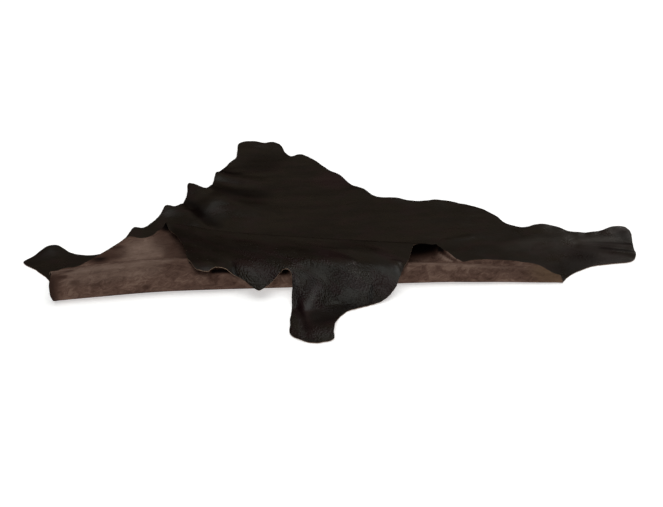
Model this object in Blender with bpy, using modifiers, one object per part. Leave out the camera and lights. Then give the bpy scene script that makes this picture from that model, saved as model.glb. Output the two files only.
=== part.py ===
"""Whole leather hide lying on a surface in a loose double fold.

The bottom layer lies grain up. Along its near side the hide rolls over into a
second layer, flesh up, which sinks back onto the first. Further back it bends
over again, and the third layer, grain up, comes forward over the roll and ends
in a leg flap on the surface.

The hide is one sheet. It is filled as a flat outline, in which the first
coordinate runs along the hide and the second is the length of leather measured
across it from the front roll, and each point is then carried to its place in
the folds. Metres, +Z up, origin at the bottom centre of the folded hide.
"""

from typing import NamedTuple

import bpy
import numpy as np
from mathutils import Vector
from mathutils.geometry import delaunay_2d_cdt

THICKNESS = 0.002
LAYER_GAP = 0.0025
FLOOR = THICKNESS / 2
LAYER_STEP = THICKNESS + LAYER_GAP
FALL_CLEARANCE = 0.020  # how far before the roll the cover's fall is aimed
LANDING_SHARE = 0.35  # how far towards its toe the fall's lower end is aimed
CREST_CLEARANCE = 0.004  # extra space between the cover and the crest of the roll
EDGE_LIFT_WIDTH = 0.055  # reach of a curled place of the edge
RELIEF_START = 0.05  # from the folds to where ridges and curled edges reach their height
SAG = 0.02  # how far the cover settles from a straight span towards the layer under it

COLUMN_STEP = 0.036
FLAT_ROW_STEP = 0.040
EDGE_STEP = 0.020
EDGE_CLEARANCE = 0.55  # least distance of an inner point from the edge, in edge steps
SECTION_SAMPLES = 60

# Each side of the sheet: colour and roughness.
FINISHES = {
    "grain": ((0.012, 0.009, 0.008, 1.0), 0.45),
    "flesh": ((0.100, 0.062, 0.048, 1.0), 0.9),
    "cut_edge": ((0.300, 0.200, 0.140, 1.0), 0.8),
}

# The folded stretch of a section, in the order in which the hide runs through it.
ROLL, LINING, BEND, COVER, FALL = range(5)
FOLD_ZONES = 5
# What lies before and after it, flat on the surface.
BASE, FLAP = -1, 5
FOLD_ROWS = {ROLL: 10, LINING: 8, BEND: 7, COVER: 8, FALL: 9}


class Section(NamedTuple):
    """One cut across the folds, at one place along the hide."""

    x: float
    front: float  # the foremost line of the front roll
    roll_height: float
    roll_depth: float  # from the foremost line back to the crest
    roll_tail: float  # from the crest back to where the second layer lies down
    back: float  # the rearmost line of the back bend
    bend_height: float
    bend_depth: float  # from the rearmost line forward to the bend's crest
    bend_tail: float  # from the bend's crest forward to where the cover lies down
    foot: float  # how far before the roll the flap meets the surface


SECTIONS = (
    Section(-1.00, -0.385, 0.078, 0.055, 0.190, 0.200, 0.034, 0.015, 0.060, 0.045),
    Section(-0.80, -0.350, 0.086, 0.070, 0.220, 0.200, 0.034, 0.015, 0.060, 0.045),
    Section(-0.62, -0.320, 0.088, 0.070, 0.230, 0.190, 0.036, 0.018, 0.090, 0.045),
    Section(-0.40, -0.300, 0.084, 0.062, 0.200, 0.085, 0.058, 0.026, 0.120, 0.070),
    Section(-0.15, -0.284, 0.080, 0.055, 0.150, 0.030, 0.068, 0.030, 0.110, 0.120),
    Section(0.10, -0.262, 0.072, 0.048, 0.110, -0.015, 0.074, 0.032, 0.090, 0.140),
    Section(0.30, -0.245, 0.065, 0.044, 0.085, -0.045, 0.078, 0.032, 0.080, 0.115),
    Section(0.42, -0.238, 0.060, 0.042, 0.090, -0.045, 0.066, 0.030, 0.070, 0.060),
    Section(0.50, -0.236, 0.053, 0.038, 0.110, -0.040, 0.040, 0.020, 0.060, 0.045),
    Section(0.60, -0.232, 0.046, 0.034, 0.110, -0.040, 0.034, 0.018, 0.060, 0.040),
    Section(0.74, -0.230, 0.032, 0.024, 0.070, -0.060, 0.034, 0.018, 0.060, 0.040),
    Section(0.84, -0.224, 0.016, 0.010, 0.020, -0.100, 0.034, 0.018, 0.060, 0.040),
)


class Ridge(NamedTuple):
    """A soft straight swell where the hide lies on the surface."""

    x_start: float
    y_start: float
    x_end: float
    y_end: float
    height: float
    width: float


RIDGES = (
    Ridge(-0.650, 0.340, -0.478, 0.204, 0.024, 0.030),
    Ridge(-0.580, 0.520, -0.430, 0.290, 0.026, 0.040),
    Ridge(-0.480, 0.635, -0.340, 0.620, 0.020, 0.030),
    Ridge(-0.400, 0.980, -0.300, 1.000, 0.012, 0.040),
    Ridge(0.880, 0.150, 0.980, 0.020, 0.014, 0.045),
    Ridge(-0.110, -0.400, -0.020, -0.500, 0.012, 0.028),
    Ridge(0.030, -0.360, 0.120, -0.350, 0.010, 0.030),
)


class Stop(NamedTuple):
    """One place that the hide's edge passes through.

    In a folded zone the place is the share of that zone which lies behind it.
    On the surface it is y. The lift is how far the edge is curled off the surface.
    """

    zone: int
    x: float
    place: float
    lift: float = 0.0


LEFT_POINT = (
    Stop(BASE, -1.000, -0.201),
    Stop(BASE, -1.050, -0.140),
    Stop(BASE, -1.115, -0.072),
    Stop(BASE, -1.084, -0.022),
    Stop(BASE, -1.040, 0.026, 0.018),
    Stop(BASE, -1.009, 0.036),
    Stop(BASE, -0.960, 0.002),
    Stop(BASE, -0.900, -0.016),
    Stop(BASE, -0.847, -0.005),
    Stop(BASE, -0.780, 0.109),
)
BACK_LEFT = (
    Stop(BASE, -0.764, 0.160),
    Stop(BASE, -0.751, 0.193, 0.010),
    Stop(BASE, -0.721, 0.192),
    Stop(BASE, -0.690, 0.257),
    Stop(BASE, -0.664, 0.300),
    Stop(BASE, -0.645, 0.323, 0.020),
    Stop(BASE, -0.617, 0.379),
    Stop(BASE, -0.583, 0.446),
    Stop(BASE, -0.578, 0.541, 0.020),
    Stop(BASE, -0.564, 0.544),
    Stop(BASE, -0.511, 0.553, 0.004),
    Stop(BASE, -0.483, 0.635),
    Stop(BASE, -0.479, 0.697, 0.014),
    Stop(BASE, -0.440, 0.811),
)
FAR_LEG = (
    Stop(BASE, -0.413, 0.881),
    Stop(BASE, -0.408, 0.966, 0.014),
    Stop(BASE, -0.395, 1.032),
    Stop(BASE, -0.344, 1.021, 0.010),
    Stop(BASE, -0.291, 0.995),
    Stop(BASE, -0.255, 1.017, 0.012),
    Stop(BASE, -0.226, 1.002),
    Stop(BASE, -0.201, 0.935),
    Stop(BASE, -0.172, 0.869),
    Stop(BASE, -0.135, 0.875, 0.018),
)
BACK_RIGHT = (
    Stop(BASE, -0.070, 0.842),
    Stop(BASE, -0.019, 0.761),
    Stop(BASE, 0.033, 0.701),
    Stop(BASE, 0.084, 0.595),
    Stop(BASE, 0.128, 0.543, 0.010),
    Stop(BASE, 0.184, 0.481),
    Stop(BASE, 0.249, 0.460, 0.008),
    Stop(BASE, 0.332, 0.444),
    Stop(BASE, 0.429, 0.436, 0.010),
    Stop(BASE, 0.541, 0.411),
    Stop(BASE, 0.593, 0.374),
    Stop(BASE, 0.639, 0.313),
    Stop(BASE, 0.679, 0.239),
    Stop(BASE, 0.730, 0.206),
    Stop(BASE, 0.799, 0.213, 0.014),
    Stop(BASE, 0.857, 0.205),
    Stop(BASE, 0.903, 0.153),
    Stop(BASE, 0.960, 0.166),
)
RIGHT_END = (
    Stop(BASE, 1.020, 0.171),
    Stop(BASE, 1.070, 0.183, 0.012),
    Stop(BASE, 1.116, 0.179, 0.012),
    Stop(BASE, 1.131, 0.147),
    Stop(BASE, 1.123, 0.069),
    Stop(BASE, 1.115, -0.015),
    Stop(BASE, 1.090, -0.063),
    Stop(BASE, 1.001, -0.085),
    Stop(BASE, 0.945, -0.101),
    Stop(BASE, 0.885, -0.135),
    Stop(BASE, 0.840, -0.178),
)
LINING_RIGHT = (
    Stop(ROLL, 0.808, 0.50),
    Stop(ROLL, 0.792, 0.91),
    Stop(LINING, 0.777, 0.54),
    Stop(LINING, 0.741, 0.87),
    Stop(LINING, 0.671, 0.95),
    Stop(LINING, 0.590, 0.98),
    Stop(LINING, 0.525, 1.00),
    Stop(LINING, 0.498, 0.94),
    Stop(LINING, 0.474, 0.92),
    Stop(BEND, 0.458, 0.08),
    Stop(BEND, 0.444, 0.25),
    Stop(BEND, 0.424, 0.43),
    Stop(BEND, 0.402, 0.57),
)
COVER_RIGHT = (
    Stop(BEND, 0.388, 0.69),
    Stop(BEND, 0.369, 0.90),
    Stop(BEND, 0.346, 0.87),
    Stop(COVER, 0.301, 0.01),
    Stop(COVER, 0.290, 0.15),
    Stop(COVER, 0.278, 0.63),
    Stop(COVER, 0.267, 0.93),
    Stop(FALL, 0.255, 0.12),
    Stop(FALL, 0.243, 0.29),
    Stop(FALL, 0.229, 0.47),
    Stop(FALL, 0.208, 0.67),
)
LEG_FLAP = (
    Stop(FALL, 0.174, 0.84),
    Stop(FALL, 0.110, 0.95),
    Stop(FLAP, 0.045, -0.428),
    Stop(FLAP, 0.017, -0.479),
    Stop(FLAP, 0.008, -0.540),
    Stop(FLAP, 0.008, -0.590),
    Stop(FLAP, -0.045, -0.615),
    Stop(FLAP, -0.101, -0.596),
    Stop(FLAP, -0.132, -0.568),
    Stop(FLAP, -0.138, -0.515),
    Stop(FALL, -0.134, 0.93),
    Stop(FALL, -0.135, 0.67),
)
COVER_LEFT = (
    Stop(FALL, -0.136, 0.36),
    Stop(FALL, -0.141, 0.25),
    Stop(FALL, -0.151, 0.18),
    Stop(FALL, -0.164, 0.19),
    Stop(FALL, -0.192, 0.35),
    Stop(FALL, -0.220, 0.50),
    Stop(FALL, -0.248, 0.58),
    Stop(FALL, -0.274, 0.52),
    Stop(FALL, -0.314, 0.36),
    Stop(FALL, -0.351, 0.23),
    Stop(FALL, -0.372, 0.15),
    Stop(FALL, -0.395, 0.12),
    Stop(FALL, -0.422, 0.20),
    Stop(FALL, -0.450, 0.19),
    Stop(FALL, -0.470, 0.15),
    Stop(COVER, -0.494, 0.97),
    Stop(COVER, -0.512, 0.78),
    Stop(COVER, -0.538, 0.51),
    Stop(COVER, -0.575, 0.25),
    Stop(COVER, -0.609, 0.11),
)
LINING_LEFT = (
    Stop(BEND, -0.634, 0.60),
    Stop(LINING, -0.659, 0.98),
    Stop(LINING, -0.679, 0.88),
    Stop(LINING, -0.715, 0.83),
    Stop(LINING, -0.762, 0.86),
    Stop(LINING, -0.805, 0.72),
    Stop(LINING, -0.854, 0.55),
    Stop(LINING, -0.906, 0.41),
    Stop(LINING, -0.971, 0.37),
    Stop(LINING, -0.989, 0.28),
    Stop(LINING, -0.959, 0.02),
    Stop(ROLL, -0.955, 0.60),
    Stop(ROLL, -0.964, 0.10),
)
EDGE = (
    LEFT_POINT + BACK_LEFT + FAR_LEG + BACK_RIGHT + RIGHT_END
    + LINING_RIGHT + COVER_RIGHT + LEG_FLAP + COVER_LEFT + LINING_LEFT
)


def smooth_curve(knots, values, at):
    """A smooth curve through the values, with slopes taken from the neighbours."""
    slopes = np.gradient(values, knots)
    at = np.clip(at, knots[0], knots[-1])
    cell = np.clip(np.searchsorted(knots, at) - 1, 0, len(knots) - 2)
    width = knots[cell + 1] - knots[cell]
    t = (at - knots[cell]) / width
    rise = values[cell + 1] - values[cell]
    early = slopes[cell] * width - rise
    late = rise - slopes[cell + 1] * width
    return values[cell] + t * rise + t * (1 - t) * (early * (1 - t) + late * t)


def section_at(x):
    """The section's sizes at x along the hide."""
    table = np.array(SECTIONS)
    return Section(*(smooth_curve(table[:, 0], column, x) for column in table.T))


def fade(t):
    """Falls smoothly from one to nothing as t goes from 0 to 1."""
    t = np.clip(t, 0, 1)
    return 1 - t * t * t * (t * (6 * t - 15) + 10)


def relief(x, y):
    """How far ridges and curled edges lift the hide where it lies on the surface."""
    total = 0 * (x + y)
    for ridge in RIDGES:
        run_x, run_y = ridge.x_end - ridge.x_start, ridge.y_end - ridge.y_start
        length = np.hypot(run_x, run_y)
        along = ((x - ridge.x_start) * run_x + (y - ridge.y_start) * run_y) / length
        across = ((y - ridge.y_start) * run_x - (x - ridge.x_start) * run_y) / length
        beyond = along - np.clip(along, 0, length)
        total = total + ridge.height * np.exp(-(across**2 + beyond**2) / ridge.width**2)
    for stop in EDGE:
        if stop.lift:
            away = np.hypot(x - stop.x, y - stop.place)
            total = total + stop.lift * np.exp(-((away / EDGE_LIFT_WIDTH) ** 2))
    return total


def lining_height(size, y):
    """The second layer: it sinks from the roll's crest onto the bottom layer."""
    behind_crest = y - size.front - size.roll_depth
    rise = np.maximum(size.roll_height - FLOOR - LAYER_STEP, 0)
    return FLOOR + LAYER_STEP + rise * fade(behind_crest / size.roll_tail)


def cover_height(size, y):
    """The third layer: it spans from the back bend to the roll, sagging towards the second."""
    crest = size.front + size.roll_depth
    inner = size.back - size.bend_depth
    support = lining_height(size, y) + LAYER_STEP
    rise = np.maximum(size.bend_height - FLOOR - 2 * LAYER_STEP, 0)
    resting = support + rise * fade((inner - y) / size.bend_tail)
    span = np.clip((y - crest) / (inner - crest), 0, 1)
    chord = size.roll_height + LAYER_STEP + CREST_CLEARANCE
    chord = chord + (size.bend_height - chord) * span * span * (3 - 2 * span)
    return np.maximum(resting, support) * SAG + np.maximum(chord, support) * (1 - SAG)


def half_turn(outer, depth, low, high, share):
    """An upright half ellipse from low to high, whose outermost point is at outer."""
    turn = np.pi * share
    y = outer + depth * (1 - np.sin(turn))
    return y, (low + high) / 2 - (high - low) / 2 * np.cos(turn)


def hanging_curve(size, share):
    """The cover where it hangs over the front of the roll down to the surface."""
    crest = size.front + size.roll_depth
    brow = size.front - FALL_CLEARANCE
    toe = size.front - size.foot
    landing = brow + (toe - brow) * LANDING_SHARE
    high = cover_height(size, crest)
    left = 1 - share
    start, rising, falling, end = left**3, 3 * share * left**2, 3 * share**2 * left, share**3
    y = start * crest + rising * brow + falling * landing + end * toe
    return y, (start + rising) * high + (falling + end) * FLOOR


def fold_point(size, zone, share):
    """y and z at a share of one folded zone. The sizes and shares are arrays of one shape."""
    crest = size.front + size.roll_depth
    inner = size.back - size.bend_depth
    if zone == ROLL:
        under = np.minimum(size.roll_depth, size.roll_height / 2)
        depth = np.where(share < 0.5, under, size.roll_depth)
        return half_turn(size.front, depth, FLOOR, size.roll_height, share)
    if zone == LINING:
        y = crest + share * (inner - crest)
        return y, lining_height(size, y)
    if zone == BEND:
        low, high = lining_height(size, inner), cover_height(size, inner)
        return half_turn(size.back, -size.bend_depth, low, high, share)
    if zone == COVER:
        y = inner + share * (crest - inner)
        return y, cover_height(size, y)
    return hanging_curve(size, share)


def folded_lines(x):
    """The folded stretch of the section at each x: y, z and length, one row for each x."""
    size = Section(*(value[:, None] for value in section_at(x)))
    shares = np.linspace(0, 1, SECTION_SAMPLES, endpoint=False)[None, :]
    parts = [fold_point(size, zone, shares) for zone in range(FOLD_ZONES)]
    parts.append(fold_point(size, FALL, np.ones((1, 1))))
    y = np.concatenate([part[0] for part in parts], axis=1)
    z = np.concatenate([part[1] for part in parts], axis=1)
    steps = np.hypot(np.diff(y, axis=1), np.diff(z, axis=1))
    length = np.concatenate([np.zeros((len(x), 1)), np.cumsum(steps, axis=1)], axis=1)
    return y, z, length


def flat_place(stop):
    """Where a stop of the edge lies on the flat hide: along it, and across it."""
    y, z, length = (line[0] for line in folded_lines(np.array([stop.x])))
    if stop.zone == BASE:
        return stop.x, y[0] - stop.place
    if stop.zone == FLAP:
        return stop.x, length[-1] + y[-1] - stop.place
    sample = (stop.zone + stop.place) * SECTION_SAMPLES
    return stop.x, float(np.interp(sample, np.arange(len(length)), length))


def fold(flat):
    """Carries points of the flat hide to their places in the folds."""
    x, across = flat[:, 0], flat[:, 1]
    y_line, z_line, length = folded_lines(x)
    y = np.array([np.interp(a, s, line) for a, s, line in zip(across, length, y_line)])
    z = np.array([np.interp(a, s, line) for a, s, line in zip(across, length, z_line)])
    y = y + np.maximum(-across, 0) - np.maximum(across - length[:, -1], 0)
    past_folds = np.maximum(-across, across - length[:, -1])
    z = z + relief(x, y) * (1 - fade(past_folds / RELIEF_START))
    return np.stack([x, y, z], axis=1)


def closed_curve(points, step):
    """Points at about this step along a smooth closed curve through the given points."""
    before, after, beyond = (np.roll(points, shift, axis=0) for shift in (1, -1, -2))
    found = []
    for p0, p1, p2, p3 in zip(before, points, after, beyond):
        chords = [np.linalg.norm(b - a) for a, b in ((p0, p1), (p1, p2), (p2, p3))]
        count = max(1, round(float(chords[1]) / step))
        knots = np.cumsum([0.0, *np.sqrt(chords)])
        for t in knots[1] + (knots[2] - knots[1]) * np.arange(count) / count:
            a1 = p0 + (p1 - p0) * (t - knots[0]) / (knots[1] - knots[0])
            a2 = p1 + (p2 - p1) * (t - knots[1]) / (knots[2] - knots[1])
            a3 = p2 + (p3 - p2) * (t - knots[2]) / (knots[3] - knots[2])
            b1 = a1 + (a2 - a1) * (t - knots[0]) / (knots[2] - knots[0])
            b2 = a2 + (a3 - a2) * (t - knots[1]) / (knots[3] - knots[1])
            found.append(b1 + (b2 - b1) * (t - knots[1]) / (knots[2] - knots[1]))
    return np.array(found)


def inner_points(outline):
    """Rows of points inside the flat outline, closer together where the section is curved."""
    columns = np.arange(outline[:, 0].min(), outline[:, 0].max(), COLUMN_STEP)
    reach = np.abs(outline[:, 1]).max()
    flat_rows = np.arange(FLAT_ROW_STEP, reach, FLAT_ROW_STEP)
    _, _, length = folded_lines(columns)
    found = []
    for x, line in zip(columns, length):
        across = [*-flat_rows, 0.0, *(line[-1] + flat_rows), line[-1]]
        for zone, rows in FOLD_ROWS.items():
            samples = (zone + np.arange(rows) / rows) * SECTION_SAMPLES
            across.extend(np.interp(samples, np.arange(len(line)), line))
        found.extend((x, a) for a in across)
    found = np.unique(np.round(np.array(found), 6), axis=0)
    inside = np.zeros(len(found), bool)
    for (xa, ya), (xb, yb) in zip(outline, np.roll(outline, -1, axis=0)):
        crosses = (ya > found[:, 1]) != (yb > found[:, 1])
        if yb != ya:
            edge_x = xa + (found[:, 1] - ya) * (xb - xa) / (yb - ya)
            inside ^= crosses & (found[:, 0] < edge_x)
    found = found[inside]
    clear = [np.hypot(*(outline - p).T).min() > EDGE_CLEARANCE * EDGE_STEP for p in found]
    return found[clear]


def flat_hide():
    """The flat hide as points and triangles."""
    outline = closed_curve(np.array([flat_place(stop) for stop in EDGE]), EDGE_STEP)
    points = np.concatenate([outline, inner_points(outline)])
    count = len(outline)
    edges = [(i, (i + 1) % count) for i in range(count)]
    found = delaunay_2d_cdt([Vector(p) for p in points], edges, [list(range(count))], 1, 1e-6)
    triangles = [tuple(reversed(face)) for face in found[2]]
    return np.array([tuple(p) for p in found[0]]), triangles


def leather(name):
    """The material of one side of the sheet."""
    colour, roughness = FINISHES[name]
    material = bpy.data.materials.new(name)
    material.use_nodes = True
    shader = material.node_tree.nodes["Principled BSDF"]
    shader.inputs["Base Color"].default_value = colour
    shader.inputs["Roughness"].default_value = roughness
    shader.inputs["Metallic"].default_value = 0.0
    return material


def make_hide(collection):
    """The folded sheet, centred over the origin and given its thickness."""
    flat, triangles = flat_hide()
    points = fold(flat)
    low, high = points.min(axis=0), points.max(axis=0)
    middle = (low + high) / 2
    points = points - np.array([middle[0], middle[1], 0.0])
    mesh = bpy.data.meshes.new("hide")
    mesh.from_pydata(points.tolist(), [], triangles)
    for name in FINISHES:
        mesh.materials.append(leather(name))
    mesh.shade_smooth()
    hide = bpy.data.objects.new("hide", mesh)
    collection.objects.link(hide)
    sheet = hide.modifiers.new("thickness", "SOLIDIFY")
    sheet.thickness = THICKNESS
    sheet.offset = 0.0
    sheet.material_offset = 1
    sheet.material_offset_rim = 2
    return hide


def main():
    for leftover in list(bpy.data.objects):
        bpy.data.objects.remove(leftover, do_unlink=True)
    collection = bpy.data.collections.new("leather_hide")
    bpy.context.scene.collection.children.link(collection)
    make_hide(collection)


main()
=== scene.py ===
"""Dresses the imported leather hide: a whole hide lying in a loose double fold.

The bottom layer lies grain up. Along its near side the hide rolls over into a second layer, flesh
up, bends over again further back, and comes forward over the roll, grain up, into a leg flap. The
hide is laid out flat, folded by sections like its solid's, and then given its swells, creases,
curled edges and thickness. Metres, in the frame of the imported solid.
"""

from __future__ import annotations

import logging
import math
from collections.abc import Sequence
from dataclasses import astuple, dataclass, field
from enum import Enum, IntEnum

import bpy
import numpy as np
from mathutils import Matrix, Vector
from mathutils.geometry import delaunay_2d_cdt
from mathutils.kdtree import KDTree


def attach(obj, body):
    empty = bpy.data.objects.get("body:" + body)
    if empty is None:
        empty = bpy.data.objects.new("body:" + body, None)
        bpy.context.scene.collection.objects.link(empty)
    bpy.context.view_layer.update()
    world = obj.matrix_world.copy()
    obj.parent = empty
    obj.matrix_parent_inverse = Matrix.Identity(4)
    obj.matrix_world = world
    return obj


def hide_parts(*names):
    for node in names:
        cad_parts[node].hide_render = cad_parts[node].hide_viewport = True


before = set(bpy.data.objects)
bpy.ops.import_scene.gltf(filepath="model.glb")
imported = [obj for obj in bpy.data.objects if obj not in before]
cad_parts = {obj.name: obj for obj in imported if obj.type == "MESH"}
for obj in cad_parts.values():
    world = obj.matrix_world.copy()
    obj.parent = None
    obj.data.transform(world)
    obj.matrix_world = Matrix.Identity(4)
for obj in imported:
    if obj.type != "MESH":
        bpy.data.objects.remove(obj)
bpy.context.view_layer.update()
LOG = logging.getLogger("leather_hide")
Array = np.ndarray
PLAN_MIDDLE = (0.0083, 0.2094)  # the middle of the folded hide in the plan that the tables use
TINY = 1e-9  # keeps a division from having nothing below it


class Zone(IntEnum):
    """The stretches of the hide, in the order in which one walks across it."""

    BASE = -1  # flat on the surface, grain up, behind the front roll
    ROLL = 0  # up round the front
    LINING = 1  # the second layer, flesh up
    BEND = 2  # over at the back
    COVER = 3  # the third layer, grain up
    FALL = 4  # hanging over the front of the roll
    FLAP = 5  # flat on the surface again


FOLDED_ZONES = (Zone.ROLL, Zone.LINING, Zone.BEND, Zone.COVER, Zone.FALL)


@dataclass(frozen=True)
class Section:
    """One cut across the folds, at one place along the hide.

    The front and back are the foremost line of the roll and the rearmost line of the bend. A depth
    runs from that line to the crest, a tail from the crest to where the layer lies down, and the
    foot is how far before the roll the flap meets the surface.
    """

    x: float
    front: float
    roll_height: float
    roll_depth: float
    roll_tail: float
    back: float
    bend_height: float
    bend_depth: float
    bend_tail: float
    foot: float


# x, front, roll height, depth and tail, back, bend height, depth and tail, foot
SECTIONS = (
    Section(-1.00, -0.385, 0.078, 0.055, 0.190, 0.200, 0.034, 0.015, 0.060, 0.045),
    Section(-0.80, -0.350, 0.086, 0.070, 0.220, 0.200, 0.034, 0.015, 0.060, 0.045),
    Section(-0.62, -0.320, 0.088, 0.070, 0.230, 0.190, 0.036, 0.018, 0.090, 0.045),
    Section(-0.40, -0.300, 0.084, 0.062, 0.200, 0.085, 0.058, 0.026, 0.120, 0.070),
    Section(-0.15, -0.284, 0.080, 0.055, 0.150, 0.030, 0.068, 0.030, 0.110, 0.105),
    Section(-0.085, -0.278, 0.078, 0.053, 0.140, 0.018, 0.070, 0.030, 0.105, 0.158),
    Section(-0.03, -0.273, 0.076, 0.052, 0.131, 0.008, 0.071, 0.031, 0.100, 0.115),
    Section(0.10, -0.262, 0.072, 0.048, 0.110, -0.015, 0.074, 0.032, 0.090, 0.118),
    Section(0.30, -0.245, 0.065, 0.044, 0.085, -0.045, 0.078, 0.032, 0.080, 0.100),
    Section(0.42, -0.238, 0.060, 0.042, 0.090, -0.045, 0.066, 0.030, 0.070, 0.060),
    Section(0.50, -0.236, 0.053, 0.038, 0.110, -0.040, 0.040, 0.020, 0.060, 0.045),
    Section(0.60, -0.232, 0.046, 0.034, 0.110, -0.040, 0.034, 0.018, 0.060, 0.040),
    Section(0.74, -0.230, 0.032, 0.024, 0.070, -0.060, 0.034, 0.018, 0.060, 0.040),
    Section(0.84, -0.224, 0.016, 0.010, 0.020, -0.100, 0.034, 0.018, 0.060, 0.040),
)


@dataclass(frozen=True)
class Stop:
    """A place on the hide: y on the surface, or the share of a folded zone that lies behind it."""

    zone: Zone
    x: float
    place: float
    lift: float = 0.0


def stops(*rows: tuple[Zone, float, float] | tuple[Zone, float, float, float]) -> tuple[Stop, ...]:
    """Rows of zone, x, place and, where the edge curls off the surface, lift.

    Args:
        rows: One row for each place that the edge passes through.

    Returns:
        The rows as stops.
    """
    return tuple(Stop(*row) for row in rows)


BASE, ROLL, LINING, BEND, COVER, FALL, FLAP = Zone

# The edge of the hide, all the way round: zone, x, place and lift.
LEFT_POINT = stops(
    (BASE, -0.999, -0.202),
    (BASE, -1.049, -0.141),
    (BASE, -1.114, -0.073),
    (BASE, -1.084, -0.023),
    (BASE, -1.040, 0.026, 0.018),
    (BASE, -1.009, 0.036),
    (BASE, -0.960, 0.001),
    (BASE, -0.900, -0.018),
    (BASE, -0.847, -0.007),
    (BASE, -0.780, 0.108),
)
BACK_LEFT = stops(
    (BASE, -0.764, 0.160),
    (BASE, -0.751, 0.193, 0.010),
    (BASE, -0.721, 0.192),
    (BASE, -0.689, 0.252),
    (BASE, -0.664, 0.302),
    (BASE, -0.649, 0.343, 0.020),
    (BASE, -0.611, 0.342),
    (BASE, -0.581, 0.428),
    (BASE, -0.578, 0.538, 0.020),
    (BASE, -0.561, 0.524),
    (BASE, -0.503, 0.485, 0.004),
    (BASE, -0.483, 0.637),
    (BASE, -0.477, 0.676, 0.014),
    (BASE, -0.440, 0.805),
)
FAR_LEG = stops(
    (BASE, -0.412, 0.863),
    (BASE, -0.409, 0.976, 0.014),
    (BASE, -0.393, 1.003),
    (BASE, -0.344, 1.018, 0.010),
    (BASE, -0.292, 1.006),
    (BASE, -0.255, 1.014, 0.012),
    (BASE, -0.226, 0.997),
    (BASE, -0.201, 0.929),
    (BASE, -0.172, 0.873),
    (BASE, -0.135, 0.884, 0.010),
)
BACK_RIGHT = stops(
    (BASE, -0.070, 0.834),
    (BASE, -0.019, 0.752),
    (BASE, 0.033, 0.695),
    (BASE, 0.084, 0.591),
    (BASE, 0.128, 0.539, 0.010),
    (BASE, 0.184, 0.473),
    (BASE, 0.249, 0.457, 0.008),
    (BASE, 0.332, 0.440),
    (BASE, 0.429, 0.432, 0.010),
    (BASE, 0.540, 0.406),
    (BASE, 0.592, 0.368),
    (BASE, 0.639, 0.308),
    (BASE, 0.678, 0.234),
    (BASE, 0.730, 0.206),
    (BASE, 0.801, 0.222, 0.007),
    (BASE, 0.858, 0.210),
    (BASE, 0.907, 0.169),
    (BASE, 0.959, 0.163),
)
RIGHT_END = stops(
    (BASE, 1.021, 0.176),
    (BASE, 1.076, 0.208, 0.004),
    (BASE, 1.123, 0.207),
    (BASE, 1.135, 0.161),
    (BASE, 1.119, 0.055),
    (BASE, 1.112, -0.026),
    (BASE, 1.089, -0.067),
    (BASE, 1.000, -0.087),
    (BASE, 0.944, -0.102),
    (BASE, 0.885, -0.137),
    (BASE, 0.839, -0.180),
)
LINING_RIGHT = stops(
    (ROLL, 0.808, 0.51),
    (LINING, 0.801, 0.28),
    (LINING, 0.777, 0.53),
    (LINING, 0.741, 0.86),
    (LINING, 0.670, 0.94),
    (LINING, 0.590, 0.98),
    (LINING, 0.525, 0.99),
    (LINING, 0.498, 0.94),
    (LINING, 0.474, 0.90),
    (LINING, 0.457, 0.99),
    (BEND, 0.443, 0.24),
    (BEND, 0.424, 0.44),
    (BEND, 0.402, 0.57),
)
COVER_RIGHT = stops(
    (BEND, 0.388, 0.66),
    (BEND, 0.368, 0.95),
    (BEND, 0.345, 0.96),
    (COVER, 0.300, 0.03),
    (COVER, 0.290, 0.18),
    (COVER, 0.278, 0.65),
    (COVER, 0.267, 0.95),
    (FALL, 0.255, 0.14),
    (FALL, 0.241, 0.33),
    (FALL, 0.229, 0.49),
    (FALL, 0.208, 0.70),
)
LEG_FLAP = stops(
    (FALL, 0.173, 0.90),
    (FLAP, 0.110, -0.391),
    (FLAP, 0.045, -0.430),
    (FLAP, 0.017, -0.492),
    (FLAP, 0.008, -0.560),
    (FLAP, 0.008, -0.596),
    (FLAP, -0.045, -0.618),
    (FLAP, -0.101, -0.602),
    (FLAP, -0.132, -0.573),
    (FLAP, -0.137, -0.523),
    (FALL, -0.134, 0.94),
    (FALL, -0.135, 0.68),
)
COVER_LEFT = stops(
    (FALL, -0.135, 0.39),
    (FALL, -0.140, 0.29),
    (FALL, -0.151, 0.24),
    (FALL, -0.163, 0.24),
    (FALL, -0.192, 0.39),
    (FALL, -0.219, 0.55),
    (FALL, -0.247, 0.65),
    (FALL, -0.273, 0.56),
    (FALL, -0.313, 0.37),
    (FALL, -0.351, 0.24),
    (FALL, -0.371, 0.18),
    (FALL, -0.393, 0.18),
    (FALL, -0.421, 0.26),
    (FALL, -0.448, 0.25),
    (FALL, -0.468, 0.20),
    (COVER, -0.493, 0.98),
    (COVER, -0.517, 0.68),
    (COVER, -0.542, 0.42),
    (COVER, -0.579, 0.20),
    (COVER, -0.611, 0.08),
)
LINING_LEFT = stops(
    (BEND, -0.634, 0.57),
    (LINING, -0.659, 0.98),
    (LINING, -0.679, 0.88),
    (LINING, -0.715, 0.84),
    (LINING, -0.761, 0.86),
    (LINING, -0.805, 0.72),
    (LINING, -0.854, 0.55),
    (LINING, -0.906, 0.41),
    (LINING, -0.971, 0.37),
    (LINING, -0.991, 0.28),
    (LINING, -0.959, 0.02),
    (ROLL, -0.955, 0.60),
    (ROLL, -0.946, 0.14),
)
EDGE = (
    *LEFT_POINT, *BACK_LEFT, *FAR_LEG, *BACK_RIGHT, *RIGHT_END,
    *LINING_RIGHT, *COVER_RIGHT, *LEG_FLAP, *COVER_LEFT, *LINING_LEFT,
)


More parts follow.
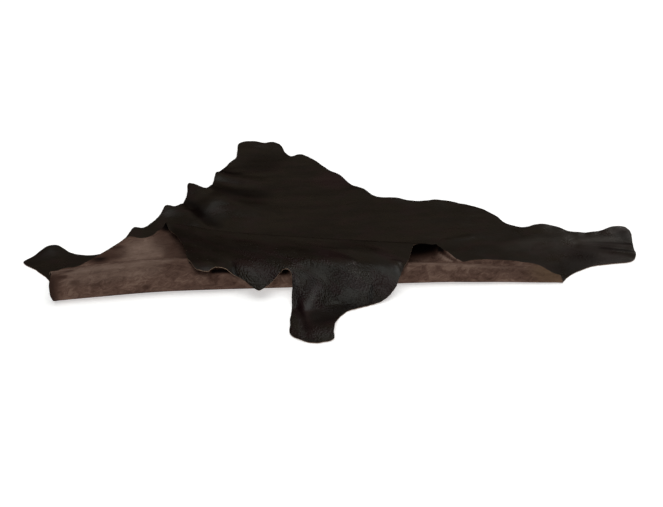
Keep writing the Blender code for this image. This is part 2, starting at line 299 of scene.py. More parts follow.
@dataclass(frozen=True)
class Swell:
    """A soft ridge towards the grain side, or with a negative height towards the flesh side.

    It runs straight from start to end on the flat hide. The near width is its spread towards the
    roll, or past it towards the leg flap, and the far width its spread the other way.
    """

    start: Stop
    end: Stop
    start_height: float
    end_height: float
    near: float
    far: float


def swell(
    zone: Zone, x_start: float, start: float, x_end: float, end: float,
    heights: tuple[float, float], widths: tuple[float, float],
) -> Swell:
    """A swell within one zone.

    Args:
        zone: The zone that it lies in.
        x_start: Where it starts along the hide.
        start: The place of its start, as in a stop.
        x_end: Where it ends along the hide.
        end: The place of its end.
        heights: Its height at the start and at the end.
        widths: Its near and far widths.

    Returns:
        The swell.
    """
    return Swell(Stop(zone, x_start, start), Stop(zone, x_end, end), *heights, *widths)


# Zone, x and place of the start, x and place of the end, heights, widths.
SWELLS = (
    # The curled point of the back edge, whose crest hides the crease behind it.
    swell(BASE, -0.652, 0.380, -0.603, 0.372, (0.010, 0.014), (0.055, 0.034)),
    swell(BASE, -0.603, 0.372, -0.565, 0.312, (0.014, 0.017), (0.058, 0.034)),
    swell(BASE, -0.565, 0.312, -0.519, 0.242, (0.017, 0.014), (0.055, 0.034)),
    swell(BASE, -0.519, 0.242, -0.465, 0.172, (0.014, 0.003), (0.040, 0.026)),
    # The second point's ridge, which runs on along the hide.
    swell(BASE, -0.585, 0.530, -0.520, 0.490, (0.014, 0.031), (0.084, 0.090)),
    swell(BASE, -0.520, 0.480, -0.445, 0.395, (0.031, 0.036), (0.092, 0.100)),
    swell(BASE, -0.445, 0.395, -0.360, 0.345, (0.036, 0.023), (0.098, 0.100)),
    swell(BASE, -0.360, 0.350, -0.240, 0.330, (0.023, 0.003), (0.080, 0.100)),
    # The third, below the far leg.
    swell(BASE, -0.485, 0.640, -0.390, 0.632, (0.014, 0.012), (0.040, 0.042)),
    swell(BASE, -0.390, 0.632, -0.270, 0.612, (0.012, 0.001), (0.040, 0.045)),
    # The far leg and the crease that runs down from its right notch.
    swell(BASE, -0.420, 1.030, -0.300, 1.040, (0.008, 0.005), (0.045, 0.050)),
    swell(BASE, -0.410, 0.900, -0.330, 0.890, (0.010, 0.002), (0.070, 0.040)),
    swell(BASE, -0.130, 0.840, -0.230, 0.720, (0.004, 0.001), (0.140, 0.060)),
    # The right end: a long soft bulge, and creases that fan out into the flare.
    swell(BASE, 0.430, 0.095, 0.520, 0.120, (0.003, 0.003), (0.014, 0.018)),
    swell(BASE, 0.700, 0.080, 0.860, 0.120, (0.005, 0.005), (0.060, 0.060)),
    swell(BASE, 0.800, 0.165, 0.930, 0.130, (0.003, 0.003), (0.034, 0.030)),
    swell(BASE, 0.930, 0.110, 1.070, 0.125, (0.003, 0.002), (0.040, 0.040)),
    swell(BASE, 0.940, 0.080, 1.115, 0.045, (0.002, 0.005), (0.022, 0.022)),
    swell(BASE, 0.930, 0.050, 1.110, -0.015, (0.002, 0.004), (0.022, 0.022)),
    # The cover's left edge, which settles towards the second layer.
    Swell(Stop(COVER, -0.605, 0.15), Stop(COVER, -0.512, 0.78), -0.010, -0.016, 0.050, 0.050),
    # Where the cover's edge stands off the roll.
    swell(FALL, -0.470, 0.30, -0.405, 0.30, (0.012, 0.016), (0.040, 0.055)),
    swell(FALL, -0.178, 0.30, -0.150, 0.30, (0.010, 0.014), (0.030, 0.050)),
    # Two pleats at the open end of the bend.
    Swell(Stop(BEND, 0.376, 0.45), Stop(LINING, 0.430, 0.95), -0.010, -0.006, 0.011, 0.011),
    Swell(Stop(BEND, 0.402, 0.45), Stop(LINING, 0.458, 0.96), -0.010, -0.006, 0.011, 0.011),
    # The cover's brow, full above the middle of the flap, and the cover behind it.
    swell(FALL, -0.035, 0.12, 0.030, 0.12, (0.016, 0.016), (0.042, 0.070)),
    swell(COVER, 0.080, 0.52, 0.130, 0.60, (0.010, 0.008), (0.070, 0.060)),
    # The groove and the bulge of the small tip.
    swell(FALL, -0.345, 0.05, -0.325, 0.45, (-0.006, -0.007), (0.014, 0.014)),
    swell(FALL, -0.290, 0.10, -0.245, 0.62, (0.006, 0.010), (0.035, 0.040)),
    # The leg flap: its left valley, the ridge beside it, its left rim and its foot, and a groove
    # and a bulge at its right edge.
    swell(FALL, -0.129, 0.30, -0.120, 1.00, (-0.003, -0.006), (0.014, 0.020)),
    swell(FLAP, -0.118, -0.395, -0.088, -0.570, (-0.007, -0.006), (0.014, 0.016)),
    swell(FALL, -0.010, 0.30, -0.084, 1.00, (0.003, 0.009), (0.040, 0.030)),
    swell(FLAP, -0.085, -0.438, -0.086, -0.490, (0.009, 0.003), (0.024, 0.022)),
    swell(FLAP, -0.110, -0.455, -0.098, -0.565, (0.007, 0.009), (0.030, 0.012)),
    swell(FLAP, -0.070, -0.560, 0.010, -0.535, (0.005, 0.017), (0.034, 0.050)),
    swell(FALL, 0.180, 0.30, 0.120, 0.95, (-0.005, -0.006), (0.008, 0.010)),
    swell(FALL, 0.225, 0.05, 0.235, 0.35, (0.006, 0.008), (0.020, 0.020)),
)


@dataclass(frozen=True)
class SheetSizes:
    """Sizes of the sheet and of its folds."""

    thickness: float = 0.002
    layer_gap: float = 0.0025
    fall_clearance: float = 0.020  # from the roll's front to the leather that hangs before it
    landing_share: float = 0.62  # how far from there to the toe the fall starts to level out
    landing_height: float = 0.016
    crest_clearance: float = 0.004
    sag: float = 0.02  # how far the cover follows what lies under it, from 0 to 1
    edge_lift_width: float = 0.055
    relief_start: float = 0.05  # from the folds to where the edge may curl
    column_step: float = 0.0076
    row_step: float = 0.0082
    edge_step: float = 0.0065
    edge_clearance: float = 0.6  # in edge steps
    samples: int = 60  # of each folded zone's curve

    @property
    def floor(self) -> float:
        """The height of the sheet's middle where it lies on the surface."""
        return self.thickness / 2

    @property
    def layer_step(self) -> float:
        """From the middle of one layer to the middle of the next."""
        return self.thickness + self.layer_gap


def fade(t: Array) -> Array:
    """Falls smoothly from one to nothing as t goes from 0 to 1."""
    t = np.clip(t, 0, 1)
    return 1 - t * t * t * (t * (6 * t - 15) + 10)


def smooth_curve(knots: Array, values: Array, at: Array) -> Array:
    """A smooth curve through values, with slopes taken from the neighbours.

    Args:
        knots: Rising places.
        values: The curve's value at each.
        at: The places that are asked for.

    Returns:
        The curve's value at each place.
    """
    slopes = np.gradient(values, knots)
    at = np.clip(at, knots[0], knots[-1])
    cell = np.clip(np.searchsorted(knots, at) - 1, 0, len(knots) - 2)
    width = knots[cell + 1] - knots[cell]
    t = (at - knots[cell]) / width
    rise = values[cell + 1] - values[cell]
    early = slopes[cell] * width - rise
    late = rise - slopes[cell + 1] * width
    return values[cell] + t * rise + t * (1 - t) * (early * (1 - t) + late * t)


class SlopeNoise:
    """Smooth noise from a repeatable lattice of random slopes, about -0.7 to 0.7."""

    SIZE = 64

    def __init__(self, seed: int) -> None:
        """Draws the lattice from the seed."""
        angles = np.random.default_rng(seed).uniform(0, 2 * np.pi, (self.SIZE, self.SIZE))
        self.slopes = np.stack([np.cos(angles), np.sin(angles)], axis=-1)

    def at(self, u: Array, v: Array) -> Array:
        """The noise at each place.

        Args:
            u: First coordinate, in cells.
            v: Second coordinate, in cells.

        Returns:
            The noise's value.
        """
        column, row = np.floor(u).astype(int), np.floor(v).astype(int)
        total = np.zeros(np.broadcast(u, v).shape)
        for i in (0, 1):
            for j in (0, 1):
                du, dv = u - column - i, v - row - j
                slope = self.slopes[(column + i) % self.SIZE, (row + j) % self.SIZE]
                weight = fade(np.abs(du)) * fade(np.abs(dv))
                total = total + weight * (slope[..., 0] * du + slope[..., 1] * dv)
        return total


@dataclass
class FoldedShape:
    """The folds: where each place of the flat hide lies once it is folded."""

    sizes: SheetSizes
    sections: Sequence[Section]

    def __post_init__(self) -> None:
        """Reads the sections as a table."""
        self.table = np.array([astuple(section) for section in self.sections])

    def section_at(self, x: Array) -> Section:
        """The section's sizes at x along the hide."""
        return Section(*(smooth_curve(self.table[:, 0], column, x) for column in self.table.T))

    def lining_height(self, size: Section, y: Array) -> Array:
        """The second layer: it sinks from the roll's crest onto the bottom layer.

        Args:
            size: The sizes of the sections.
            y: Places across the folded hide.

        Returns:
            The height of the layer's middle.
        """
        low = self.sizes.floor + self.sizes.layer_step
        behind_crest = y - size.front - size.roll_depth
        rise = np.maximum(size.roll_height - low, 0)
        return low + rise * fade(behind_crest / size.roll_tail)

    def cover_height(self, size: Section, y: Array) -> Array:
        """The third layer: from the bend to the roll, sagging towards the second.

        Args:
            size: The sizes of the sections.
            y: Places across the folded hide.

        Returns:
            The height of the layer's middle.
        """
        step, sag = self.sizes.layer_step, self.sizes.sag
        crest = size.front + size.roll_depth
        inner = size.back - size.bend_depth
        support = self.lining_height(size, y) + step
        rise = np.maximum(size.bend_height - self.sizes.floor - 2 * step, 0)
        resting = support + rise * fade((inner - y) / size.bend_tail)
        span = np.clip((y - crest) / (inner - crest), 0, 1)
        chord = size.roll_height + step + self.sizes.crest_clearance
        chord = chord + (size.bend_height - chord) * span * span * (3 - 2 * span)
        return np.maximum(resting, support) * sag + np.maximum(chord, support) * (1 - sag)

    @staticmethod
    def half_turn(
        outer: Array, depth: Array, low: Array, high: Array, share: Array
    ) -> tuple[Array, Array]:
        """An upright half ellipse.

        Args:
            outer: The y of its outermost point.
            depth: From there to its ends.
            low: The height of its start.
            high: The height of its end.
            share: How far round it, from 0 to 1.

        Returns:
            y and z.
        """
        turn = np.pi * share
        y = outer + depth * (1 - np.sin(turn))
        return y, (low + high) / 2 - (high - low) / 2 * np.cos(turn)

    def hanging_curve(self, size: Section, share: Array) -> tuple[Array, Array]:
        """The cover where it hangs over the front of the roll.

        Args:
            size: The sizes of the sections.
            share: How far down it, from 0 to 1.

        Returns:
            y and z.
        """
        crest = size.front + size.roll_depth
        brow = size.front - self.sizes.fall_clearance
        toe = size.front - size.foot
        landing = brow + (toe - brow) * self.sizes.landing_share
        high = self.cover_height(size, crest)
        left = 1 - share
        start, rising = left**3, 3 * share * left**2
        falling, end = 3 * share**2 * left, share**3
        y = start * crest + rising * brow + falling * landing + end * toe
        landing_z = self.sizes.floor + self.sizes.landing_height
        return y, (start + rising) * high + falling * landing_z + end * self.sizes.floor

    def zone_point(self, size: Section, zone: Zone, share: Array) -> tuple[Array, Array]:
        """A place in one folded zone.

        Args:
            size: The sizes of the sections.
            zone: The folded zone.
            share: The share of the zone that lies behind the place.

        Returns:
            y and z.
        """
        crest = size.front + size.roll_depth
        inner = size.back - size.bend_depth
        if zone == Zone.ROLL:
            under = np.minimum(size.roll_depth, size.roll_height / 2)
            depth = np.where(share < 0.5, under, size.roll_depth)
            return self.half_turn(size.front, depth, self.sizes.floor, size.roll_height, share)
        if zone == Zone.LINING:
            y = crest + share * (inner - crest)
            return y, self.lining_height(size, y)
        if zone == Zone.BEND:
            low, high = self.lining_height(size, inner), self.cover_height(size, inner)
            return self.half_turn(size.back, -size.bend_depth, low, high, share)
        if zone == Zone.COVER:
            y = inner + share * (crest - inner)
            return y, self.cover_height(size, y)
        return self.hanging_curve(size, share)

    def lines(self, x: Array) -> tuple[Array, Array, Array]:
        """The folded stretch of the section at each x.

        Args:
            x: Places along the hide.

        Returns:
            y, z and length of leather from the roll's start, one row for each x.
        """
        size = Section(*(column[:, None] for column in astuple(self.section_at(x))))
        shares = np.linspace(0, 1, self.sizes.samples, endpoint=False)[None, :]
        parts = [self.zone_point(size, zone, shares) for zone in FOLDED_ZONES]
        parts.append(self.zone_point(size, Zone.FALL, np.ones((1, 1))))
        y = np.concatenate([part[0] for part in parts], axis=1)
        z = np.concatenate([part[1] for part in parts], axis=1)
        steps = np.hypot(np.diff(y, axis=1), np.diff(z, axis=1))
        length = np.concatenate([np.zeros((len(x), 1)), np.cumsum(steps, axis=1)], axis=1)
        return y, z, length

    def flat_place(self, stop: Stop) -> tuple[float, float]:
        """Where a stop lies on the flat hide.

        Args:
            stop: A place on the folded hide.

        Returns:
            How far along the hide it is, and how far across it from the roll's start.
        """
        y, z, length = (line[0] for line in self.lines(np.array([stop.x])))
        if stop.zone == Zone.BASE:
            return stop.x, float(y[0] - stop.place)
        if stop.zone == Zone.FLAP:
            return stop.x, float(length[-1] + y[-1] - stop.place)
        sample = (stop.zone + stop.place) * self.sizes.samples
        return stop.x, float(np.interp(sample, np.arange(len(length)), length))


@dataclass
class FlatHide:
    """The hide laid out flat: its outline, and the points and triangles that fill it.

    The zone rows say how many rows of points each folded zone has, and the raggedness is the
    wavelength, size and seed of each unevenness of the edge.
    """

    shape: FoldedShape
    zone_rows: Sequence[int] = (18, 22, 12, 24, 18)
    raggedness: Sequence[tuple[float, float, int]] = ((0.050, 0.0024, 11), (0.016, 0.0016, 12))
    digits: int = 6  # to which points that fall together are rounded
    weld: float = 1e-6

    def __post_init__(self) -> None:
        """Lays the hide out from the edge's stops."""
        self.sizes = self.shape.sizes
        corners = np.array([self.shape.flat_place(stop) for stop in EDGE])
        self.outline = self.ragged(self.closed_curve(corners, self.sizes.edge_step))
        self.points, self.triangles = self.filled()

    @staticmethod
    def closed_curve(points: Array, step: float) -> Array:
        """A smooth closed curve.

        Args:
            points: What it passes through.
            step: About how far apart its points are.

        Returns:
            The curve's points.
        """
        before, after, beyond = (np.roll(points, shift, axis=0) for shift in (1, -1, -2))
        found = []
        for p0, p1, p2, p3 in zip(before, points, after, beyond):
            chords = [np.linalg.norm(b - a) for a, b in ((p0, p1), (p1, p2), (p2, p3))]
            count = max(1, round(float(chords[1]) / step))
            knots = np.cumsum([0.0, *np.sqrt(chords)])
            for t in knots[1] + (knots[2] - knots[1]) * np.arange(count) / count:
                a1 = p0 + (p1 - p0) * (t - knots[0]) / (knots[1] - knots[0])
                a2 = p1 + (p2 - p1) * (t - knots[1]) / (knots[2] - knots[1])
                a3 = p2 + (p3 - p2) * (t - knots[2]) / (knots[3] - knots[2])
                b1 = a1 + (a2 - a1) * (t - knots[0]) / (knots[2] - knots[0])
                b2 = a2 + (a3 - a2) * (t - knots[1]) / (knots[3] - knots[1])
                found.append(b1 + (b2 - b1) * (t - knots[1]) / (knots[2] - knots[1]))
        return np.array(found)

    def ragged(self, outline: Array) -> Array:
        """The outline as a knife and the shrinking of the hide leave it, a little uneven.

        Args:
            outline: The smooth outline.

        Returns:
            The uneven one.
        """
        ahead = np.roll(outline, -1, axis=0) - np.roll(outline, 1, axis=0)
        across = np.stack([-ahead[:, 1], ahead[:, 0]], axis=1)
        across /= np.linalg.norm(across, axis=1, keepdims=True)
        offset = np.zeros(len(outline))
        for wavelength, size, seed in self.raggedness:
            offset += size * SlopeNoise(seed).at(*(outline.T / wavelength))
        return outline + across * offset[:, None]

    def inner_points(self) -> Array:
        """Rows of points inside the outline, closer together where the section is curved.

        Returns:
            The points.
        """
        outline, sizes = self.outline, self.sizes
        columns = np.arange(outline[:, 0].min(), outline[:, 0].max(), sizes.column_step)
        reach = np.abs(outline[:, 1]).max()
        flat_rows = np.arange(sizes.row_step, reach, sizes.row_step)
        _, _, length = self.shape.lines(columns)
        found = []
        for index, (x, line) in enumerate(zip(columns, length)):
            shift = sizes.row_step / 2 * (index % 2)
            across = [*(-flat_rows - shift), 0.0, *(line[-1] + flat_rows + shift), line[-1]]
            for zone, rows in zip(FOLDED_ZONES, self.zone_rows):
                samples = (zone + np.arange(rows) / rows) * sizes.samples
                across.extend(np.interp(samples, np.arange(len(line)), line))
            found.extend((x, a) for a in across)
        points = np.unique(np.round(np.array(found), self.digits), axis=0)
        inside = np.zeros(len(points), bool)
        for (xa, ya), (xb, yb) in zip(outline, np.roll(outline, -1, axis=0)):
            crosses = (ya > points[:, 1]) != (yb > points[:, 1])
            if yb != ya:
                edge_x = xa + (points[:, 1] - ya) * (xb - xa) / (yb - ya)
                inside ^= crosses & (points[:, 0] < edge_x)
        points = points[inside]
        return points[self.edge_distance(points) > sizes.edge_clearance * sizes.edge_step]

    def edge_distance(self, points: Array) -> Array:
        """How far places of the flat hide are from its edge.

        Args:
            points: The places.

        Returns:
            The distance of each.
        """
        tree = KDTree(len(self.outline))
        for index, (x, across) in enumerate(self.outline):
            tree.insert((x, across, 0.0), index)
        tree.balance()
        return np.array([tree.find((x, across, 0.0))[2] for x, across in points])

    def filled(self) -> tuple[Array, Array]:
        """Fills the outline.

        Returns:
            The points, and the triangles, which face the grain side.
        """
        points = np.concatenate([self.outline, self.inner_points()])
        count = len(self.outline)
        edges = [(i, (i + 1) % count) for i in range(count)]
        ring = [list(range(count))]
        inside_only = 1
        found = delaunay_2d_cdt([Vector(p) for p in points], edges, ring, inside_only, self.weld)
        triangles = np.array(found[2])[:, ::-1]
        return np.array([tuple(p) for p in found[0]]), triangles

    def area(self) -> float:
        """Adds up the triangles.

        Returns:
            The flat area of the hide in square metres.
        """
        a, b, c = (self.points[self.triangles[:, k]] for k in range(3))
        cross = (b - a)[:, 0] * (c - a)[:, 1] - (b - a)[:, 1] * (c - a)[:, 0]
        return float(np.abs(cross).sum() / 2)


@dataclass
class HideSurface:
    """The folded surface with its swells, curled edges and wrinkles.

    Each family of wrinkles has its lengths along and across the hide, its size and its seed, and
    the edge's wave has its wavelength, size and seed.
    """

    flat: FlatHide
    fine_columns: int = 900
    last_share: float = 0.9999  # how far the last place lies between the last two columns
    slope_step: float = 0.002  # how far to either side the slope is measured
    join: float = 7.0  # how sharply crossing swells take the higher one
    give: float = 0.002  # how gently the sheet comes down onto the surface
    wrinkle_families: Sequence[tuple[float, float, float, int]] = (
        (0.30, 0.050, 0.0011, 21),
        (0.20, 0.040, 0.0006, 22),
        (0.55, 0.160, 0.0022, 23),
    )
    wrinkle_rise: float = 0.3  # how much more the wrinkles rise than sink
    wrinkles_in_folds: float = 0.5  # their share of height there
    edge_wave: tuple[float, float, int] = (0.060, 0.0045, 24)
    edge_wave_width: float = 0.028
    open_width: float = 0.06  # from the bend to where the bottom layer is free to swell

    def __post_init__(self) -> None:
        """Reads the fine lines of the folds once."""
        self.shape = self.flat.shape
        self.sizes = self.flat.sizes
        low, high = self.flat.points[:, 0].min(), self.flat.points[:, 0].max()
        self.columns = np.linspace(low, high, self.fine_columns)
        self.y_lines, self.z_lines, self.lengths = self.shape.lines(self.columns)
        self.swell_ends = [
            np.array([self.shape.flat_place(item.start), self.shape.flat_place(item.end)])
            for item in SWELLS
        ]

    def place(self, x: Array, across: Array) -> tuple[Array, Array, Array]:
        """Where places of the flat hide lie in the smooth folds.

        Args:
            x: Places along the hide.
            across: Length of leather from the roll's start.

        Returns:
            y, z, and the length of the folded stretch there.
        """
        step = self.columns[1] - self.columns[0]
        last = self.fine_columns - 2 + self.last_share
        position = np.clip((x - self.columns[0]) / step, 0, last)
        column = position.astype(int)
        share = position - column
        y, z, total = np.zeros(len(x)), np.zeros(len(x)), np.zeros(len(x))
        order = np.argsort(column, kind="stable")
        for group in np.split(order, np.flatnonzero(np.diff(column[order])) + 1):
            for k, weight in ((0, 1 - share[group]), (1, share[group])):
                row = column[group[0]] + k
                line, reached = self.lengths[row], across[group]
                beyond = np.maximum(reached - line[-1], 0)
                before = np.maximum(-reached, 0)
                y_folded = np.interp(reached, line, self.y_lines[row])
                y[group] += weight * (y_folded + before - beyond)
                z[group] += weight * np.interp(reached, line, self.z_lines[row])
                total[group] += weight * line[-1]
        return y, z, total

    def normals(self, x: Array, across: Array) -> Array:
        """The grain side's outward direction in the smooth folds.

        Args:
            x: Places along the hide.
            across: Length of leather from the roll's start.

        Returns:
            A unit vector for each place.
        """
        step = self.slope_step
        (y0, z0), (y1, z1) = (self.place(x, across + s)[:2] for s in (-step, step))
        run = np.stack([np.zeros(len(x)), y1 - y0, z1 - z0], axis=1)
        (y0, z0), (y1, z1) = (self.place(x + s, across)[:2] for s in (-step, step))
        side = np.stack([np.full(len(x), 2 * step), y1 - y0, z1 - z0], axis=1)
        normal = np.cross(run, side)
        return normal / np.linalg.norm(normal, axis=1, keepdims=True)

    def swells(self, x: Array, across: Array) -> Array:
        """The height of all swells together.

        Args:
            x: Places along the hide.
            across: Length of leather from the roll's start.

        Returns:
            The height at each place.
        """
        raised, sunk = np.zeros(len(x)), np.zeros(len(x))
        for item, (start, end) in zip(SWELLS, self.swell_ends):
            heights = (item.start_height, item.end_height)
            if end[0] < start[0]:
                start, end, heights = end, start, heights[::-1]
            run = end - start
            length = np.linalg.norm(run)
            run = run / length
            dx, da = x - start[0], across - start[1]
            along = dx * run[0] + da * run[1]
            aside = da * run[0] - dx * run[1]
            beyond = along - np.clip(along, 0, length)
            width = np.where(aside > 0, item.near, item.far)
            share = np.clip(along / length, 0, 1)
            height = heights[0] + (heights[1] - heights[0]) * share
            size = np.abs(height) * np.exp(-(aside**2 + beyond**2) / width**2)
            raised += np.where(height > 0, size, 0) ** self.join
            sunk += np.where(height < 0, size, 0) ** self.join
        return raised ** (1 / self.join) - sunk ** (1 / self.join)

    def edge_lifts(self, x: Array, y: Array) -> Array:
        """How far the curled places of the edge stand off the surface.

        Args:
            x: Places along the folded hide.
            y: Places across it.

        Returns:
            The lift at each place.
        """
        total = np.zeros(len(x))
        for stop in EDGE:
            if stop.lift:
                away = np.hypot(x - stop.x, y - stop.place) / self.sizes.edge_lift_width
                total += stop.lift * np.exp(-(away**2))
        return total

    def wrinkles(self, x: Array, across: Array) -> Array:
        """Long soft wrinkles, most of them along the hide.

        Args:
            x: Places along the hide.
            across: Length of leather from the roll's start.

        Returns:
            Their height at each place.
        """
        total = np.zeros(len(x))
        for along, aside, size, seed in self.wrinkle_families:
            total += size * (SlopeNoise(seed).at(x / along, across / aside) + self.wrinkle_rise)
        return total

    def edge_waves(self, flat: Array) -> Array:
        """The waves close to the edge.

        Args:
            flat: Places of the flat hide.

        Returns:
            Their height at each place.
        """
        wavelength, size, seed = self.edge_wave
        near_edge = np.exp(-((self.flat.edge_distance(flat) / self.edge_wave_width) ** 2))
        return np.abs(SlopeNoise(seed).at(*(flat.T / wavelength))) * size * near_edge

    def at(self, flat: Array) -> Array:
        """The middle of the sheet.

        Args:
            flat: Places of the flat hide.

        Returns:
            The point where each of them lies.
        """
        x, across = flat.T
        y, z, total = self.place(x, across)
        on_surface = (across < 0) | (across > total)
        behind_bend = 1 - fade((y - self.shape.section_at(x).back) / self.open_width)
        free = np.where(across < 0, behind_bend, 1.0)
        wave = self.edge_waves(flat)
        flesh_out = (across > 0) & (across < self.bend_start(x))
        height = self.swells(x, across) * free
        wrinkle_share = np.where(on_surface, 1.0, self.wrinkles_in_folds)
        height += self.wrinkles(x, across) * free * wrinkle_share
        height += np.where(flesh_out, -wave, wave) * free
        points = np.stack([x, y, z], axis=1) + self.normals(x, across) * height[:, None]
        past_folds = np.maximum(-across, across - total)
        lift = self.edge_lifts(x, y) * (1 - fade(past_folds / self.sizes.relief_start))
        points[:, 2] += np.where(on_surface, lift, 0)
        spare = points[:, 2] - self.sizes.floor
        points[:, 2] = self.sizes.floor + (spare + np.hypot(spare, self.give)) / 2
        return points

    def bend_start(self, x: Array) -> Array:
        """The length of leather from the roll's start to the bend, at each x."""
        sample = int(Zone.BEND) * self.sizes.samples
        return np.interp(x, self.columns, self.lengths[:, sample])


@dataclass(frozen=True)
class Cells:
    """Sizes of a noise over the flat hide.

    Its largest cells have a size along and across the hide. The detail is how many finer layers it
    has and the strength how much they count, the slant turns the cells by degrees, and the twist
    swirls them.
    """

    along: float
    across: float
    detail: float
    strength: float = 0.55
    slant: float = 0.0
    twist: float = 0.0


class Socket:
    """A shader output that arithmetic can be written on."""

    def __init__(self, graph: ShaderGraph, link: bpy.types.NodeSocket) -> None:
        """Keeps the graph and the output."""
        self.graph = graph
        self.link = link

    def __add__(self, other: Socket | float) -> Socket:
        """Sum."""
        return self.graph.maths("ADD", self, other)

    def __mul__(self, other: Socket | float) -> Socket:
        """Product."""
        return self.graph.maths("MULTIPLY", self, other)

    def __sub__(self, other: Socket | float) -> Socket:
        """Difference."""
        return self.graph.maths("SUBTRACT", self, other)

    def __rsub__(self, other: float) -> Socket:
        """Difference from a number."""
        return self.graph.maths("SUBTRACT", other, self)

    __radd__ = __add__
    __rmul__ = __mul__

    def between(self, low: float, high: float) -> Socket:
        """Rises smoothly from 0 at low to 1 at high."""
        return self.graph.mapped(self, low, high)

    def swing(self) -> Socket:
        """A noise's value, counted from its middle."""
        return self - NOISE_MIDDLE


Feed = Socket | float | Sequence[float]


class ShaderGraph:
    """The nodes of one material."""

    MIX_COLOURS = (6, 7)  # the inputs of a Mix node that take colours
    MIXED_COLOUR = 2  # and its output

    def __init__(self, material: bpy.types.Material) -> None:
        """Starts from the material's own shader.

        Args:
            material: The material that the nodes belong to.
        """
        material.use_nodes = True
        self.tree = material.node_tree
        self.shader = self.tree.nodes["Principled BSDF"]

    def node(
        self, kind: str, settings: dict[str, object], feeds: dict[str | int, Feed]
    ) -> bpy.types.Node:
        """Adds one node.

        Args:
            kind: Its type.
            settings: Its settings, which are set first.
            feeds: The value or link of each socket.

        Returns:
            The node.
        """
        made = self.tree.nodes.new(kind)
        for name, value in settings.items():
            setattr(made, name, value)
        for name, feed in feeds.items():
            self.feed(made.inputs[name], feed)
        return made

    def feed(self, socket: bpy.types.NodeSocket, feed: Feed) -> None:
        """Links or sets one input.

        Args:
            socket: The input.
            feed: What it gets.
        """
        if isinstance(feed, Socket):
            self.tree.links.new(feed.link, socket)
        else:
            socket.default_value = feed

    def maths(self, operation: str, a: Feed, b: Feed) -> Socket:
        """A Math node on two values."""
        made = self.node("ShaderNodeMath", {"operation": operation}, {0: a, 1: b})
        return Socket(self, made.outputs[0])

    def mapped(self, value: Socket, low: float, high: float) -> Socket:
        """Eases a value.

        Args:
            value: The value.
            low: Where the result starts to rise from 0.
            high: Where it reaches 1.

        Returns:
            The result.
        """
        feeds = {"Value": value, "From Min": low, "From Max": high}
        made = self.node("ShaderNodeMapRange", {"interpolation_type": "SMOOTHSTEP"}, feeds)
        return Socket(self, made.outputs[0])

    def attribute(self, name: str) -> Socket:
        """A value kept on the mesh."""
        made = self.node("ShaderNodeAttribute", {"attribute_name": name}, {})
        return Socket(self, made.outputs["Fac"])

    def stretched(self, along: float, across: float, slant: float = 0.0) -> Socket:
        """Flat coordinates of the hide, in cells of these sizes.

        Args:
            along: Size of a cell along the hide.
            across: Its size across it.
            slant: Degrees by which the cells are turned.

        Returns:
            The coordinates.
        """
        flat = Socket(self, self.node("ShaderNodeUVMap", {"uv_map": "flat"}, {}).outputs[0])
        cos, sin = math.cos(math.radians(slant)), math.sin(math.radians(slant))
        directions = (cos / along, sin / along, 0.0), (-sin / across, cos / across, 0.0)
        parts = []
        for direction in directions:
            feeds = {0: flat, 1: direction}
            made = self.node("ShaderNodeVectorMath", {"operation": "DOT_PRODUCT"}, feeds)
            parts.append(Socket(self, made.outputs["Value"]))
        joined = self.node("ShaderNodeCombineXYZ", {}, {"X": parts[0], "Y": parts[1]})
        return Socket(self, joined.outputs[0])

    def noise(self, cells: Cells) -> Socket:
        """Noise over the flat hide.

        Args:
            cells: Its sizes.

        Returns:
            Its value, about 0 to 1.
        """
        feeds = {
            "Vector": self.stretched(cells.along, cells.across, cells.slant), "Scale": 1.0,
            "Detail": cells.detail, "Roughness": cells.strength, "Distortion": cells.twist,
        }
        made = self.node("ShaderNodeTexNoise", {"noise_dimensions": "2D"}, feeds)
        return Socket(self, made.outputs[0])

    def pebbles(self, size: float, smoothness: float) -> Socket:
        """Rounded pebbles.

        Args:
            size: About how wide they are.
            smoothness: How softly they meet, from 0 to 1.

        Returns:
            The distance from the middle of the nearest, in pebbles.
        """
        feeds = {"Vector": self.stretched(size, size), "Scale": 1.0, "Smoothness": smoothness}
        settings = {"voronoi_dimensions": "2D", "feature": "SMOOTH_F1"}
        made = self.node("ShaderNodeTexVoronoi", settings, feeds)
        return Socket(self, made.outputs[0])

    def mixed(self, factor: Feed, first: Feed, second: Feed) -> Socket:
        """A colour between two.

        Args:
            factor: 0 for the first, 1 for the second.
            first: A colour.
            second: Another.

        Returns:
            The colour.
        """
        settings = {"data_type": "RGBA", "clamp_factor": True}
        feeds = {0: factor, **dict(zip(self.MIX_COLOURS, (first, second)))}
        made = self.node("ShaderNodeMix", settings, feeds)
        return Socket(self, made.outputs[self.MIXED_COLOUR])

    def relief(self, height: Socket) -> Socket:
        """A normal from a height in metres."""
        made = self.node("ShaderNodeBump", {}, {"Strength": 1.0, "Distance": 1.0, "Height": height})
        return Socket(self, made.outputs[0])

    def dulled(self, factor: Socket, colour: Feed) -> None:
        """Takes the sheen away and leaves one matt colour there.

        Args:
            factor: Where, from 0 to 1.
            colour: The matt colour.
        """
        matt = self.node("ShaderNodeBsdfDiffuse", {}, {"Color": colour})
        both = self.node("ShaderNodeMixShader", {}, {0: factor})
        self.tree.links.new(self.shader.outputs[0], both.inputs[1])
        self.tree.links.new(matt.outputs[0], both.inputs[2])
        output = next(node for node in self.tree.nodes if node.type == "OUTPUT_MATERIAL")
        self.tree.links.new(both.outputs[0], output.inputs["Surface"])

    def dress(self, **feeds: Feed) -> None:
        """Feeds the shader's sockets, named with underscores for spaces."""
        for name, feed in feeds.items():
            self.feed(self.shader.inputs[name.replace("_", " ")], feed)


Colour = tuple[float, float, float, float]
Span = tuple[float, float]  # a value's low and high end
DEEP_SHADE: Colour = (0.0030, 0.0014, 0.0010, 1.0)
NOISE_MIDDLE = 0.5


